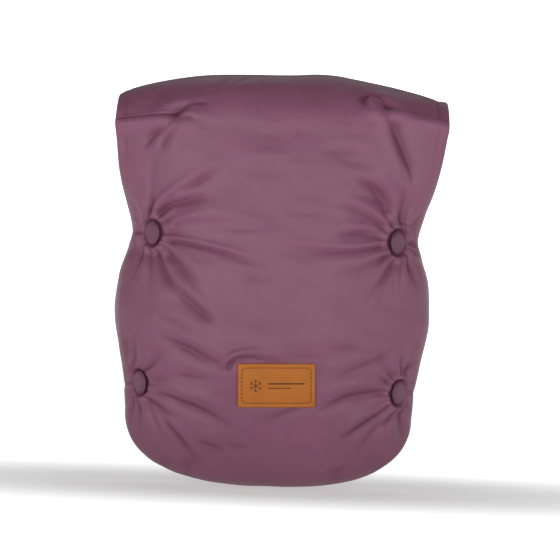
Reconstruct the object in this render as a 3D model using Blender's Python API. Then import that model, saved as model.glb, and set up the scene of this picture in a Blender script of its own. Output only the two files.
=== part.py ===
"""Hand warmer muff for a pushchair handlebar, built from its separate sewn and fastened pieces.

Metres, +Z up, the front faces -Y. The origin is the centre of the handlebar channel, so the
bottom seam lies at -CHANNEL_HEIGHT. Three quilted panels (front, back, back flap) each have an
outer shell, a wadding and a lining. The front panel runs over the handlebar to a fold line at
the back. The back flap hinges on that line and closes over the back panel with press studs.
"""
import math

import bmesh
import bpy
from mathutils import Matrix, Vector

# Overall sizes
CHANNEL_HEIGHT = 0.365      # channel centre above the bottom seam
GAP = 0.0003                # air between pieces that touch
SEAM_GAP = 0.0007           # each quilt's distance from the middle plane along the bottom seam
SIDE_POWER = 2.2            # superellipse power of the front and back sections
ARCH_POWER = 2.6            # flatter arch across the crest and the flap

# Outline seen from the front: superellipse corners below CORNER_HEIGHT, then (height, half width)
CORNER_HEIGHT = 0.075
CORNER_HALF_WIDTH = 0.151
CORNER_POWERS = (2.2, 0.357)
OUTLINE = [(0.075, 0.151), (0.104, 0.1528), (0.135, 0.158), (0.180, 0.165), (0.215, 0.1625),
           (0.245, 0.154), (0.262, 0.1504), (0.288, 0.156), (0.314, 0.164), (0.340, 0.1696),
           (0.372, 0.174)]

# Front panel: depth of the belly, then centre line and edge line as (height, y)
FRONT_BELLY = 0.080
FRONT_BELLY_HEIGHT = 0.180
FRONT_CENTRE = [(0.180, -0.080), (0.235, -0.080), (0.300, -0.077), (0.340, -0.074), (0.372, -0.070)]
FRONT_EDGE = [(0.104, -SEAM_GAP), (0.142, -0.008), (0.235, -0.008), (0.262, -0.014),
              (0.300, -0.024), (0.340, -0.039), (0.372, -0.045)]

# Crest over the handlebar: ellipses (centre y, centre height, semi-axis y, semi-axis z)
CREST_START = 0.372
CREST_LENGTH = 0.150
CREST_CENTRE = (-0.013, 0.375, 0.057, 0.056)
CREST_EDGE = (0.000, 0.372, 0.045, 0.032)
CREST_HALF_WIDTH = 0.171
FOLD_ANGLE = math.radians(12)
FOLD_EDGE_ANGLE = math.radians(21.5)
FOLD_Y = CREST_CENTRE[0] + CREST_CENTRE[2] * math.cos(FOLD_ANGLE)
FOLD_HEIGHT = CREST_CENTRE[1] + CREST_CENTRE[3] * math.sin(FOLD_ANGLE)
FOLD_EDGE_DROP = 0.003

# Back panel and the flap that closes over it: (height, y)
BACK_BELLY = 0.060
BACK_BELLY_HEIGHT = 0.160
BACK_CENTRE = [(0.160, 0.060), (0.200, 0.058), (0.232, 0.048), (0.256, 0.0375), (0.302, 0.0375)]
BACK_EDGE = [(0.104, SEAM_GAP), (0.142, 0.030), (0.232, 0.0305), (0.302, 0.0305)]
FLAP_CENTRE = [(0.254, 0.0455), (0.290, 0.0455), (0.314, 0.055), (0.345, 0.056),
               (FOLD_HEIGHT, FOLD_Y)]
FLAP_EDGE = [(0.254, 0.0385), (0.290, 0.0385), (0.345, 0.041), (FOLD_HEIGHT, FOLD_Y - 0.001)]
FOLD_GAP = 0.0014          # room between the front panel and the flap along the fold
FLAP_BOTTOM = 0.254
FLAP_SIDE_INSET = 0.002
FLAP_MAX_HALF_WIDTH = 0.168

# Layers
SHELL = 0.0012
LINING = 0.0015
LAYER_GAP = 0.0005
HEM = SHELL + 2 * LAYER_GAP + LINING    # shell and lining with no wadding between
FRONT_WADDING = 0.020
BACK_WADDING = 0.017
FLAP_WADDING = 0.012
EDGE_FADE = 4.0

# Tufting buttons: (name, x, height)
BUTTON_RADIUS = 0.0127
BUTTON_HEIGHT = 0.0072
BUTTON_LIFT = 0.0024        # underside of the cover above the bottom of its dimple
BUTTON_PLACES = [("upper_left", -0.131, 0.260), ("upper_right", 0.131, 0.260),
                 ("lower_left", -0.139, 0.103), ("lower_right", 0.139, 0.103)]
TUFT_DEPTH = 0.008
TUFT_REACH = 0.023
TUFT_SQUEEZE = 0.70
THREAD_RADIUS = 0.0006
ANCHOR_CLEARANCE = 0.0030

# Label on the front and care label inside
LABEL_SIZE = (0.080, 0.045, 0.0016)
LABEL_CENTRE = (0.008, 0.106)
LABEL_TURN = math.radians(2.3)
CARE_SIZE = (0.030, 0.022, 0.0006)
CARE_CENTRE = (-0.060, 0.170)
CARE_CLEARANCE = 0.0030     # room under the care label for the lining's flat facets

# Press studs on the flap's hem
STUD_HEIGHT = 0.277
STUD_PLACES = (-0.120, -0.040, 0.040, 0.120)
STUD_DEPTH = 0.008          # flap's outer face to the back panel's outer face

# Grid lines of the panels
COLUMNS = (0.0, 0.20, 0.40, 0.58, 0.74, 0.84, 0.905, 0.955, 0.988, 1.0)
FRONT_ROWS = (0.0, 0.003, 0.012, 0.030, 0.055, 0.080, 0.096, 0.110, 0.128, 0.155, 0.190, 0.225,
              0.246, 0.260, 0.274, 0.294, 0.330, 0.372, 0.396, 0.420, 0.444, 0.468, 0.492,
              0.510, 0.521)
BACK_ROWS = (0.0, 0.003, 0.012, 0.030, 0.060, 0.100, 0.122, 0.145, 0.185, 0.225, 0.254, 0.277,
             0.300)
FLAP_ROWS = (0.0, 0.012, 0.034, 0.058, 0.080, 0.094, 0.110, 0.130)


def curve(points, at):
    """Smooth interpolation through (x, y) points that never overshoots them."""
    if at <= points[0][0]:
        return points[0][1]
    if at >= points[-1][0]:
        return points[-1][1]
    i = max(k for k in range(len(points) - 1) if points[k][0] <= at)
    slopes = [(b[1] - a[1]) / (b[0] - a[0]) for a, b in zip(points, points[1:])]

    def tangent(k):
        if k == 0 or k == len(slopes) or slopes[k - 1] * slopes[k] <= 0:
            return 0.0 if 0 < k < len(slopes) else slopes[min(k, len(slopes) - 1)]
        return 2 * slopes[k - 1] * slopes[k] / (slopes[k - 1] + slopes[k])

    (x0, y0), (x1, y1) = points[i], points[i + 1]
    span = x1 - x0
    t = (at - x0) / span
    return ((2 * t ** 3 - 3 * t ** 2 + 1) * y0 + (t ** 3 - 2 * t ** 2 + t) * span * tangent(i)
            + (3 * t ** 2 - 2 * t ** 3) * y1 + (t ** 3 - t ** 2) * span * tangent(i + 1))


def rise(at, length):
    """Quarter-round rise from 0 to 1 over a length."""
    left = max(0.0, 1.0 - max(at, 0.0) / length)
    return math.sqrt(1.0 - left * left)


def half_width(height):
    """Half the muff's width at a height above the bottom seam."""
    if height < CORNER_HEIGHT:
        a, b = CORNER_POWERS
        return max(0.020, CORNER_HALF_WIDTH * (1 - (1 - height / CORNER_HEIGHT) ** a) ** b)
    return curve(OUTLINE, height)


def side_round(u):
    """Section that turns to face sideways at the edge."""
    return max(0.0, 1 - abs(u) ** SIDE_POWER) ** (1 / SIDE_POWER)


def arch(u):
    """Section that reaches its edge at a slant."""
    return 1 - abs(u) ** ARCH_POWER


def section(centre, edge, width, u, archness):
    """Point at the fraction u of a section between its centre and edge (y, height) points."""
    share = (1 - archness) * side_round(u) + archness * arch(u)
    y = edge[0] + (centre[0] - edge[0]) * share
    height = edge[1] + (centre[1] - edge[1]) * share
    return Vector((width * u, y, height - CHANNEL_HEIGHT))


def on_ellipse(ellipse, angle):
    """Point (y, height) of an ellipse."""
    return ellipse[0] + ellipse[2] * math.cos(angle), ellipse[1] + ellipse[3] * math.sin(angle)


def front_surface(t, u):
    """Outer face of the front panel: t is the height, then the way over the crest."""
    if t <= CREST_START:
        if t < FRONT_BELLY_HEIGHT:
            centre_y = -SEAM_GAP - (FRONT_BELLY - SEAM_GAP) * rise(t, FRONT_BELLY_HEIGHT)
        else:
            centre_y = curve(FRONT_CENTRE, t)
        archness = max(0.0, min(1.0, (t - 0.29) / 0.08))
        return section((centre_y, t), (curve(FRONT_EDGE, t), t), half_width(t), u, archness)
    way = (t - CREST_START) / CREST_LENGTH
    angle = math.pi + (FOLD_ANGLE - math.pi) * way
    edge_angle = math.pi + (FOLD_EDGE_ANGLE - math.pi) * way
    width = CREST_HALF_WIDTH + 0.003 * max(0.0, -math.cos(angle))
    centre = on_ellipse(CREST_CENTRE, angle)
    edge = on_ellipse(CREST_EDGE, edge_angle)
    return section(centre, edge, width, u, 1.0)


def back_surface(t, u):
    """Outer face of the back panel: t is the height."""
    if t < BACK_BELLY_HEIGHT:
        centre_y = SEAM_GAP + (BACK_BELLY - SEAM_GAP) * rise(t, BACK_BELLY_HEIGHT)
    else:
        centre_y = curve(BACK_CENTRE, t)
    archness = max(0.0, min(1.0, (t - 0.20) / 0.05))
    return section((centre_y, t), (curve(BACK_EDGE, t), t), half_width(t) - 0.001, u, archness)


def flap_surface(t, u):
    """Outer face of the flap: t is the way down from the fold."""
    way = t / FLAP_ROWS[-1]
    height = FOLD_HEIGHT - FOLD_GAP + (FLAP_BOTTOM - FOLD_HEIGHT + FOLD_GAP) * way
    edge_height = height - FOLD_EDGE_DROP * (1 - way) + 0.012 * way ** 6
    width = min(FLAP_MAX_HALF_WIDTH, half_width(height) - FLAP_SIDE_INSET)
    centre = (curve(FLAP_CENTRE, height), height)
    return section(centre, (curve(FLAP_EDGE, height), edge_height), width, u, 1.0)


def outward(surface, t, u, sign):
    """Unit normal of a surface, by differences kept inside its edges."""
    step_t, step_u = 0.00015, 0.0005
    t = max(t, 1.5 * step_t)
    u0, u1 = max(-0.9999, u - step_u), min(0.9999, u + step_u)
    across = surface(t, u1) - surface(t, u0)
    along = surface(t + step_t, u0) - surface(t - step_t, u0)
    return across.cross(along).normalized() * sign


def front_wadding_depth(t, u):
    """Thickness of the front wadding."""
    fade = rise(t - 0.002, 0.050) * rise(FRONT_ROWS[-1] - t, 0.040)
    return FRONT_WADDING * fade * math.sqrt(max(0.0, 1 - abs(u) ** EDGE_FADE))


def back_wadding_depth(t, u):
    """Thickness of the back wadding, which stops below the studs' hem."""
    fade = rise(t - 0.002, 0.050) * rise(0.250 - t, 0.035)
    return BACK_WADDING * fade * math.sqrt(max(0.0, 1 - abs(u) ** EDGE_FADE))


def flap_wadding_depth(t, u):
    """Thickness of the flap wadding, which stops above the studs' hem."""
    fade = rise(t, 0.025) * rise(0.092 - t, 0.020)
    return FLAP_WADDING * fade * math.sqrt(max(0.0, 1 - abs(u) ** EDGE_FADE))


def no_tufts(point):
    """Pull of the tufting on a panel without buttons."""
    return 0.0


def button_frame(x, height):
    """Surface point and outward direction where a tufting button sits."""
    u = x / half_width(height)
    return front_surface(height, u), outward(front_surface, height, u, 1)


def tuft_pull(point):
    """Share, 0 to 1, of the full tufting depth at a point of the front."""
    pull = 0.0
    for _, x, height in BUTTON_PLACES:
        distance = (point - button_frame(x, height)[0]).length
        pull = max(pull, math.exp(-(distance / TUFT_REACH) ** 4))
    return pull


class Panel:
    """A quilted panel: an outer surface with the depth of each layer under it."""

    def __init__(self, surface, wadding_depth, rows, sign=1, pull=no_tufts):
        self.rows = rows
        self.columns = [-u for u in reversed(COLUMNS[1:])] + list(COLUMNS)
        self.frames = [[self.frame(surface, wadding_depth, t, u, sign, pull)
                        for u in self.columns] for t in rows]

    @staticmethod
    def frame(surface, wadding_depth, t, u, sign, pull):
        """Outer point, inward direction and wadding depth at one grid crossing."""
        point = surface(t, u)
        inward = -outward(surface, t, u, sign)
        drawn = pull(point)
        thick = wadding_depth(t, u) * (1 - TUFT_SQUEEZE * drawn)
        return point + inward * TUFT_DEPTH * drawn, inward, thick

    def slab(self, name, top, bottom, material, rows=None, inset=0):
        """Closed solid between two depths; each depth is (fixed part, share of the wadding)."""
        first, last = rows or (0, len(self.rows) - 1)
        grid = [row[inset:len(row) - inset] for row in self.frames[first:last + 1]]
        mesh = bmesh.new()
        faces = []
        for fixed, share in (top, bottom):
            faces.append([[mesh.verts.new(p + d * (fixed + share * w)) for p, d, w in row]
                          for row in grid])
        outer, inner = faces
        high, wide = len(grid), len(grid[0])
        for i in range(high - 1):
            for j in range(wide - 1):
                for side in faces:
                    a, b = side[i][j], side[i][j + 1]
                    c, d = side[i + 1][j + 1], side[i + 1][j]
                    mesh.faces.new((a, b, c))
                    mesh.faces.new((a, c, d))
        ring = ([(0, j) for j in range(wide - 1)] + [(i, wide - 1) for i in range(high - 1)]
                + [(high - 1, j) for j in range(wide - 1, 0, -1)]
                + [(i, 0) for i in range(high - 1, 0, -1)])
        for (a, b), (c, d) in zip(ring, ring[1:] + ring[:1]):
            mesh.faces.new((outer[a][b], outer[c][d], inner[c][d], inner[a][b]))
        return finish(name, mesh, material)


def make_material(name, colour, roughness, metallic=0.0):
    """A plain Principled material."""
    material = bpy.data.materials.new(name)
    material.use_nodes = True
    shader = material.node_tree.nodes["Principled BSDF"]
    shader.inputs["Base Color"].default_value = (*colour, 1.0)
    shader.inputs["Roughness"].default_value = roughness
    shader.inputs["Metallic"].default_value = metallic
    material.diffuse_color = (*colour, 1.0)
    return material


def finish(name, mesh, material, place=None):
    """Turn a bmesh into a named object with its material, faces pointing out."""
    bmesh.ops.recalc_face_normals(mesh, faces=mesh.faces)
    data = bpy.data.meshes.new(name)
    mesh.to_mesh(data)
    mesh.free()
    data.shade_smooth()
    data.set_sharp_from_angle(angle=math.radians(35))
    data.materials.append(material)
    item = bpy.data.objects.new(name, data)
    bpy.context.scene.collection.objects.link(item)
    if place is not None:
        item.matrix_world = place
    return item


def turned(name, profile, material, place, sides=12):
    """A solid of revolution about its own Z from (radius, z) points on a closed profile."""
    mesh = bmesh.new()
    rings = []
    for radius, z in profile:
        if radius == 0:
            rings.append([mesh.verts.new((0, 0, z))])
        else:
            turns = [2 * math.pi * k / sides for k in range(sides)]
            rings.append([mesh.verts.new((radius * math.cos(a), radius * math.sin(a), z))
                          for a in turns])
    pairs = list(zip(rings, rings[1:]))
    if len(rings[0]) > 1:
        pairs.append((rings[-1], rings[0]))
    for a, b in pairs:
        for k in range(sides):
            n = (k + 1) % sides
            corners = [a[k % len(a)], a[n % len(a)], b[n % len(b)], b[k % len(b)]]
            mesh.faces.new(list(dict.fromkeys(corners)))
    return finish(name, mesh, material, place)


def facing(point, direction):
    """Placement at a point with local Z along a direction."""
    turn = direction.to_track_quat("Z", "Y").to_matrix().to_4x4()
    return Matrix.Translation(point) @ turn


def drill(items, places, radius, top, bottom):
    """Cut round holes through thin pieces along the local Z of each place."""
    cutter_mesh = bmesh.new()
    for place in places:
        middle = place @ Matrix.Translation((0, 0, (top + bottom) / 2))
        bmesh.ops.create_cone(cutter_mesh, cap_ends=True, segments=8, radius1=radius,
                              radius2=radius, depth=top - bottom, matrix=middle)
    cutter = finish("cutter_" + items[0].name, cutter_mesh, items[0].data.materials[0])
    cutter.hide_render = True
    cutter.display_type = "WIRE"
    for item in items:
        modifier = item.modifiers.new("holes", "BOOLEAN")
        modifier.operation = "DIFFERENCE"
        modifier.solver = "EXACT"
        modifier.object = cutter


def conformal_patch(name, surface, sign, centre, size, turn, lift, material, cells=(8, 5)):
    """A thin plate that follows a panel's face; lift is its near face's height above it."""
    mesh = bmesh.new()
    layers = []
    for extra in (lift + size[2], lift):
        layer = []
        for i in range(cells[1] + 1):
            row = []
            for j in range(cells[0] + 1):
                across = size[0] * (j / cells[0] - 0.5)
                up = size[1] * (i / cells[1] - 0.5)
                x = centre[0] + across * math.cos(turn) - up * math.sin(turn)
                height = centre[1] + across * math.sin(turn) + up * math.cos(turn)
                u = x / half_width(height)
                normal = outward(surface, height, u, sign)
                row.append(mesh.verts.new(surface(height, u) + normal * extra))
            layer.append(row)
        layers.append(layer)
    outer, inner = layers
    for i in range(cells[1]):
        for j in range(cells[0]):
            for side in layers:
                mesh.faces.new((side[i][j], side[i][j + 1], side[i + 1][j + 1], side[i + 1][j]))
    ring = ([(0, j) for j in range(cells[0])] + [(i, cells[0]) for i in range(cells[1])]
            + [(cells[1], j) for j in range(cells[0], 0, -1)]
            + [(i, 0) for i in range(cells[1], 0, -1)])
    for (a, b), (c, d) in zip(ring, ring[1:] + ring[:1]):
        mesh.faces.new((outer[a][b], outer[c][d], inner[c][d], inner[a][b]))
    return finish(name, mesh, material)


def build_panels(materials):
    """The three quilted panels, each as shell, wadding and lining."""
    panels = {
        "front": (Panel(front_surface, front_wadding_depth, FRONT_ROWS, 1, tuft_pull), (2, 22)),
        "back": (Panel(back_surface, back_wadding_depth, BACK_ROWS, -1), (2, 9)),
        "flap": (Panel(flap_surface, flap_wadding_depth, FLAP_ROWS, 1), (1, 4)),
    }
    layers = {}
    for name, (panel, padded_rows) in panels.items():
        layers[name] = [
            panel.slab(name + "_shell", (0, 0), (SHELL, 0), materials["outer_fabric"]),
            panel.slab(name + "_wadding", (SHELL + LAYER_GAP, 0), (SHELL + LAYER_GAP, 1),
                       materials["wadding"], padded_rows, 1),
            panel.slab(name + "_lining", (SHELL + 2 * LAYER_GAP, 1), (HEM, 1),
                       materials["lining_plush"]),
        ]
    return layers


def build_button(name, x, height, materials):
    """A covered tufting button, its back plate, the thread and the anchor inside; gives its place."""
    surface, out = button_frame(x, height)
    place = facing(surface - out * TUFT_DEPTH, out)
    rim = BUTTON_RADIUS
    top = BUTTON_HEIGHT
    lift = BUTTON_LIFT
    cover = [(0, lift + top), (rim * 0.45, lift + top * 0.94), (rim * 0.80, lift + top * 0.72),
             (rim * 0.96, lift + top * 0.46), (rim, lift + top * 0.28), (rim * 0.96, lift + 0.0004),
             (rim * 0.88, lift), (0.0096, lift), (0.0096, lift + 0.0022), (0, lift + 0.0022)]
    turned("button_cover_" + name, cover, materials["outer_fabric"], place, 18)
    plate = [(0, lift + 0.0018), (0.0092, lift + 0.0018), (0.0092, lift + 0.0006), (0.0016, lift + 0.0006),
             (0.0016, lift - 0.0006), (0, lift - 0.0006)]
    turned("button_plate_" + name, plate, materials["stud_metal"], place)
    u = x / half_width(height)
    squeezed = front_wadding_depth(height, u) * (1 - TUFT_SQUEEZE)
    inside = -(HEM + squeezed)
    low = inside - ANCHOR_CLEARANCE
    thread = [(0, lift - 0.0009), (THREAD_RADIUS, lift - 0.0009), (THREAD_RADIUS, low - 0.0032),
              (0.0017, low - 0.0040), (0.0017, low - 0.0054), (0, low - 0.0060)]
    turned("tuft_thread_" + name, thread, materials["thread"], place, 8)
    anchor = [(0.0011, low), (0.0080, low), (0.0087, low - 0.0008), (0.0080, low - 0.0024),
              (0.0011, low - 0.0028)]
    turned("anchor_button_" + name, anchor, materials["button_plastic"], place)
    return place, inside


def build_buttons(layers, materials):
    """All tufting buttons, with the thread's holes through the front panel."""
    placed = [build_button(name, x, height, materials) for name, x, height in BUTTON_PLACES]
    deepest = min(inside for _, inside in placed)
    drill(layers["front"], [place for place, _ in placed], THREAD_RADIUS + GAP, 0.006,
          deepest - 0.004)


def build_studs(layers, materials):
    """Press studs: cap and socket on the flap, stud and post on the back panel."""
    places = []
    t = next(row for row in FLAP_ROWS if flap_surface(row, 0).z < STUD_HEIGHT - CHANNEL_HEIGHT)
    for number, x in enumerate(STUD_PLACES, 1):
        u = x / (half_width(STUD_HEIGHT) - FLAP_SIDE_INSET)
        point = flap_surface(t, u)
        place = facing(point, outward(flap_surface, t, u, 1))
        places.append(place)
        metal = materials["stud_metal"]
        cap = [(0, 0.0022), (0.0035, 0.0020), (0.0056, 0.0012), (0.0060, 0.0004), (0.0016, 0.0004),
               (0.0016, -0.0044), (0, -0.0044)]
        turned(f"snap_cap_{number}", cap, metal, place)
        socket = [(0.0020, -HEM - 0.0004), (0.0052, -HEM - 0.0004), (0.0052, -0.0064),
                  (0.0029, -0.0064), (0.0029, -0.0049), (0.0020, -0.0049)]
        turned(f"snap_socket_{number}", socket, metal, place)
        base = -STUD_DEPTH
        stud = [(0, -0.0052), (0.0023, -0.0054), (0.0023, base + 0.0011), (0.0050, base + 0.0011),
                (0.0050, base + 0.0004), (0.0020, base + 0.0004), (0.0020, -0.0061), (0, -0.0061)]
        turned(f"snap_stud_{number}", stud, metal, place)
        post = [(0, -0.0064), (0.0016, -0.0064), (0.0016, base - HEM - 0.0005),
                (0.0050, base - HEM - 0.0005), (0.0046, base - HEM - 0.0015), (0, base - HEM - 0.0015)]
        turned(f"snap_post_{number}", post, metal, place)
    flap_skins = [layers["flap"][0], layers["flap"][2]]
    back_skins = [layers["back"][0], layers["back"][2]]
    drill(flap_skins, places, 0.0020, 0.003, -0.0055)
    drill(back_skins, places, 0.0020, 0.0035 - STUD_DEPTH, -0.0060 - STUD_DEPTH)


def build_labels(materials):
    """The plain label on the front and the blank care label on the back lining."""
    conformal_patch("front_label", front_surface, 1, LABEL_CENTRE, LABEL_SIZE, LABEL_TURN,
                    0.0004, materials["label_leather"])
    u = CARE_CENTRE[0] / half_width(CARE_CENTRE[1])
    depth = HEM + back_wadding_depth(CARE_CENTRE[1], u)
    lift = -depth - CARE_SIZE[2] - CARE_CLEARANCE
    conformal_patch("care_label", back_surface, -1, CARE_CENTRE, CARE_SIZE, 0.0, lift,
                    materials["care_satin"], (3, 3))


def main():
    """Build every piece of the muff."""
    for old in list(bpy.data.objects):
        bpy.data.objects.remove(old, do_unlink=True)
    materials = {
        "outer_fabric": make_material("outer_fabric", (0.235, 0.105, 0.155), 0.48),
        "lining_plush": make_material("lining_plush", (0.72, 0.69, 0.65), 0.95),
        "wadding": make_material("wadding", (0.85, 0.85, 0.84), 1.0),
        "label_leather": make_material("label_leather", (0.44, 0.16, 0.038), 0.60),
        "care_satin": make_material("care_satin", (0.86, 0.86, 0.85), 0.45),
        "thread": make_material("thread", (0.17, 0.08, 0.11), 0.75),
        "button_plastic": make_material("button_plastic", (0.60, 0.58, 0.56), 0.40),
        "stud_metal": make_material("stud_metal", (0.35, 0.33, 0.33), 0.30, 1.0),
    }
    layers = build_panels(materials)
    build_buttons(layers, materials)
    build_studs(layers, materials)
    build_labels(materials)


main()
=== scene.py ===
"""Looks of the hand warmer muff: puffed quilts, plush lining, covered buttons, label and studs.

Every piece lies in the frame's own metres, +Z up, front towards -Y, origin in the handlebar channel.
"""
import logging
import math
from dataclasses import dataclass, field
from enum import Enum

import bmesh
import bpy
import numpy as np
from mathutils import Matrix, Vector


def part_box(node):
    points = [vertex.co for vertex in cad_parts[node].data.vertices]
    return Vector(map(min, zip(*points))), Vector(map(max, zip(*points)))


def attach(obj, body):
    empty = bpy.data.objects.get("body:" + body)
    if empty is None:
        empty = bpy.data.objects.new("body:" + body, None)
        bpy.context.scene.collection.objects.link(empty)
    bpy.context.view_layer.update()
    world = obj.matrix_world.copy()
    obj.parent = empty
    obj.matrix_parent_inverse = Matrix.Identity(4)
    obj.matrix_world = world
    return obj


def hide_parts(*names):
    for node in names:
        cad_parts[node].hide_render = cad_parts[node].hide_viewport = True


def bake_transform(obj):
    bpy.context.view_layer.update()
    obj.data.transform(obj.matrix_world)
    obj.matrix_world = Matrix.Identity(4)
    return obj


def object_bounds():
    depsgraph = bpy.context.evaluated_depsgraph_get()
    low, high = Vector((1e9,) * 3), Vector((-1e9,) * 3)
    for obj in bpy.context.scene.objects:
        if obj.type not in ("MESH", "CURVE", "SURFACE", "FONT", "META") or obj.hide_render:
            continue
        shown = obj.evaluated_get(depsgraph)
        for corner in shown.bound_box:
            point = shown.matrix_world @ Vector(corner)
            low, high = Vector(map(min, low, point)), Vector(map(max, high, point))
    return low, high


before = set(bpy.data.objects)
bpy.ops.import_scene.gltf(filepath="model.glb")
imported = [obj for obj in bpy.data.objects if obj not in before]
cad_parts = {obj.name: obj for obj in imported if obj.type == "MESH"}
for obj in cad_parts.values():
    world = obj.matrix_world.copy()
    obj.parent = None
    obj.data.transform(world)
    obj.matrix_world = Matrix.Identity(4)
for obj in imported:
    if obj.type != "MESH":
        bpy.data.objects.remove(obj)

CAD_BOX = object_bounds()
LOG = logging.getLogger("muff")


class Side(Enum):
    """The strong part of a crease: the shares of its path where it comes in and where it fades."""

    START = ((-0.02, 0.08), (0.25, 1.0))
    MIDDLE = ((0.0, 0.40), (0.50, 1.0))
    END = ((0.0, 0.50), (0.60, 1.0))


# ---------------------------------------------------------------- finishes


class Nodes:
    """A short way to add and join shader nodes."""

    def __init__(self, name: str) -> None:
        """Start an empty Principled material called name."""
        self.material = bpy.data.materials.new(name)
        self.material.use_nodes = True
        self.tree = self.material.node_tree
        self.shader = self.tree.nodes["Principled BSDF"]

    def add(self, kind: str, **values: object) -> bpy.types.Node:
        """Add a node and set its properties or inputs.

        Args:
            kind: the node's type without its ShaderNode prefix.
            values: properties, or inputs with spaces written as underscores.

        Returns:
            The new node.
        """
        node = self.tree.nodes.new("ShaderNode" + kind)
        for key, value in values.items():
            label = key.replace("_", " ")
            if hasattr(node, key):
                setattr(node, key, value)
            else:
                node.inputs[label].default_value = value
        return node

    def join(self, source: object, target: object) -> None:
        """Link an output socket to an input socket."""
        self.tree.links.new(source, target)

    def set(self, **values: object) -> None:
        """Set the shader's own sockets, with spaces written as underscores."""
        for key, value in values.items():
            self.shader.inputs[key.replace("_", " ")].default_value = value

    def ramp(self, factor: object, stops: list[tuple[float, tuple]]) -> bpy.types.Node:
        """Colour ramp driven by a factor socket.

        Args:
            factor: the output socket that drives it.
            stops: (position, linear RGB) pairs, two or more.

        Returns:
            The ramp node.
        """
        node = self.add("ValToRGB")
        while len(node.color_ramp.elements) < len(stops):
            node.color_ramp.elements.new(0.5)
        for element, (position, colour) in zip(node.color_ramp.elements, stops):
            element.position = position
            element.color = (*colour, 1.0)
        self.join(factor, node.inputs["Fac"])
        return node

    def bump(self, height: object, strength: float, distance: float,
             under: object = None) -> bpy.types.Node:
        """Bump from a height socket, laid over another bump if one is given.

        Args:
            height: the output socket read as a height.
            strength: share of the bump, 0 to 1.
            distance: metres that a height of 1 stands for.
            under: normal output of a bump beneath this one.

        Returns:
            The bump node.
        """
        node = self.add("Bump", Strength=strength, Distance=distance)
        self.join(height, node.inputs["Height"])
        if under is not None:
            self.join(under, node.inputs["Normal"])
        return node

    def place(self, *textures: bpy.types.Node) -> None:
        """Read textures in Object space."""
        space = self.add("TexCoord")
        for texture in textures:
            self.join(space.outputs["Object"], texture.inputs["Vector"])

    def uneven(self, source: object, low: float, high: float) -> None:
        """Let a socket's values spread the roughness from low to high."""
        spread = self.add("MapRange", To_Min=low, To_Max=high)
        self.join(source, spread.inputs["Value"])
        self.join(spread.outputs["Result"], self.shader.inputs["Roughness"])

    def finished(self, colour: object, relief: bpy.types.Node, **values: object) -> bpy.types.Material:
        """Join the colour and the last bump, set the shader's own sockets, return the material."""
        self.join(colour, self.shader.inputs["Base Color"])
        self.join(relief.outputs["Normal"], self.shader.inputs["Normal"])
        self.set(**values)
        return self.material


def shade(colour: tuple, factor: float) -> tuple:
    """Scale a linear colour."""
    return tuple(c * factor for c in colour)


@dataclass(frozen=True)
class SatinFinish:
    """Fine-woven satin-faced polyester."""

    name: str = "plum_satin"
    colour: tuple = (0.182, 0.067, 0.111)
    # painted shade: colour multiplier that darkens the cloth in its crease valleys
    painted_shade_tone: tuple = (0.74, 0.60, 0.66)
    threads_per_metre: float = 2600.0
    roughness: float = 0.44

    def make(self) -> bpy.types.Material:
        """Return the material, with its weave in the cloth's own UV metres and painted shade in its
        crease valleys.
        """
        n = Nodes(self.name)
        uv = n.add("UVMap", uv_map="cloth")
        cloudy = n.add("TexNoise", Scale=14.0, Detail=4.0, Roughness=0.55)
        crinkle = n.add("TexNoise", Scale=95.0, Detail=6.0, Roughness=0.62)
        n.place(cloudy, crinkle)
        tone = n.ramp(cloudy.outputs["Fac"], [(0.30, shade(self.colour, 0.93)),
                                              (0.70, shade(self.colour, 1.06))])
        weave = []
        for turn in (0.0, math.pi / 2):
            turned = n.add("Mapping")
            turned.inputs["Rotation"].default_value = (0, 0, turn)
            turned.inputs["Scale"].default_value = (self.threads_per_metre / 20,) * 3
            n.join(uv.outputs["UV"], turned.inputs["Vector"])
            wave = n.add("TexWave", Scale=1.0, Distortion=0.6, Detail=1.0)
            n.join(turned.outputs["Vector"], wave.inputs["Vector"])
            weave.append(wave.outputs["Fac"])
        cross = n.add("Math", operation="MULTIPLY")
        n.join(weave[0], cross.inputs[0])
        n.join(weave[1], cross.inputs[1])
        thread_tone = n.add("Mix", data_type="RGBA", blend_type="MULTIPLY")
        thread_tone.inputs["Factor"].default_value = 0.04
        n.join(tone.outputs["Color"], thread_tone.inputs[6])
        n.join(cross.outputs["Value"], thread_tone.inputs[7])
        # painted shade: the crease-valley attribute darkens the base colour where shadow falls in the
        # folds
        painted_crease_shade = n.add("Attribute", attribute_name="painted_crease_shade")
        shaded_colour = n.add("Mix", data_type="RGBA", blend_type="MULTIPLY")
        shaded_colour.inputs[7].default_value = (*self.painted_shade_tone, 1.0)
        n.join(painted_crease_shade.outputs["Fac"], shaded_colour.inputs["Factor"])
        n.join(thread_tone.outputs[2], shaded_colour.inputs[6])
        soft = n.bump(crinkle.outputs["Fac"], 0.55, 0.0014)
        fine = n.bump(cross.outputs["Value"], 0.10, 0.00005, soft.outputs["Normal"])
        n.uneven(cloudy.outputs["Fac"], self.roughness - 0.05, self.roughness + 0.08)
        return n.finished(shaded_colour.outputs[2], fine, Sheen_Weight=0.03, Sheen_Roughness=0.35,
                          Specular_IOR_Level=0.22, Sheen_Tint=(0.90, 0.72, 0.82, 1.0))


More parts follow.
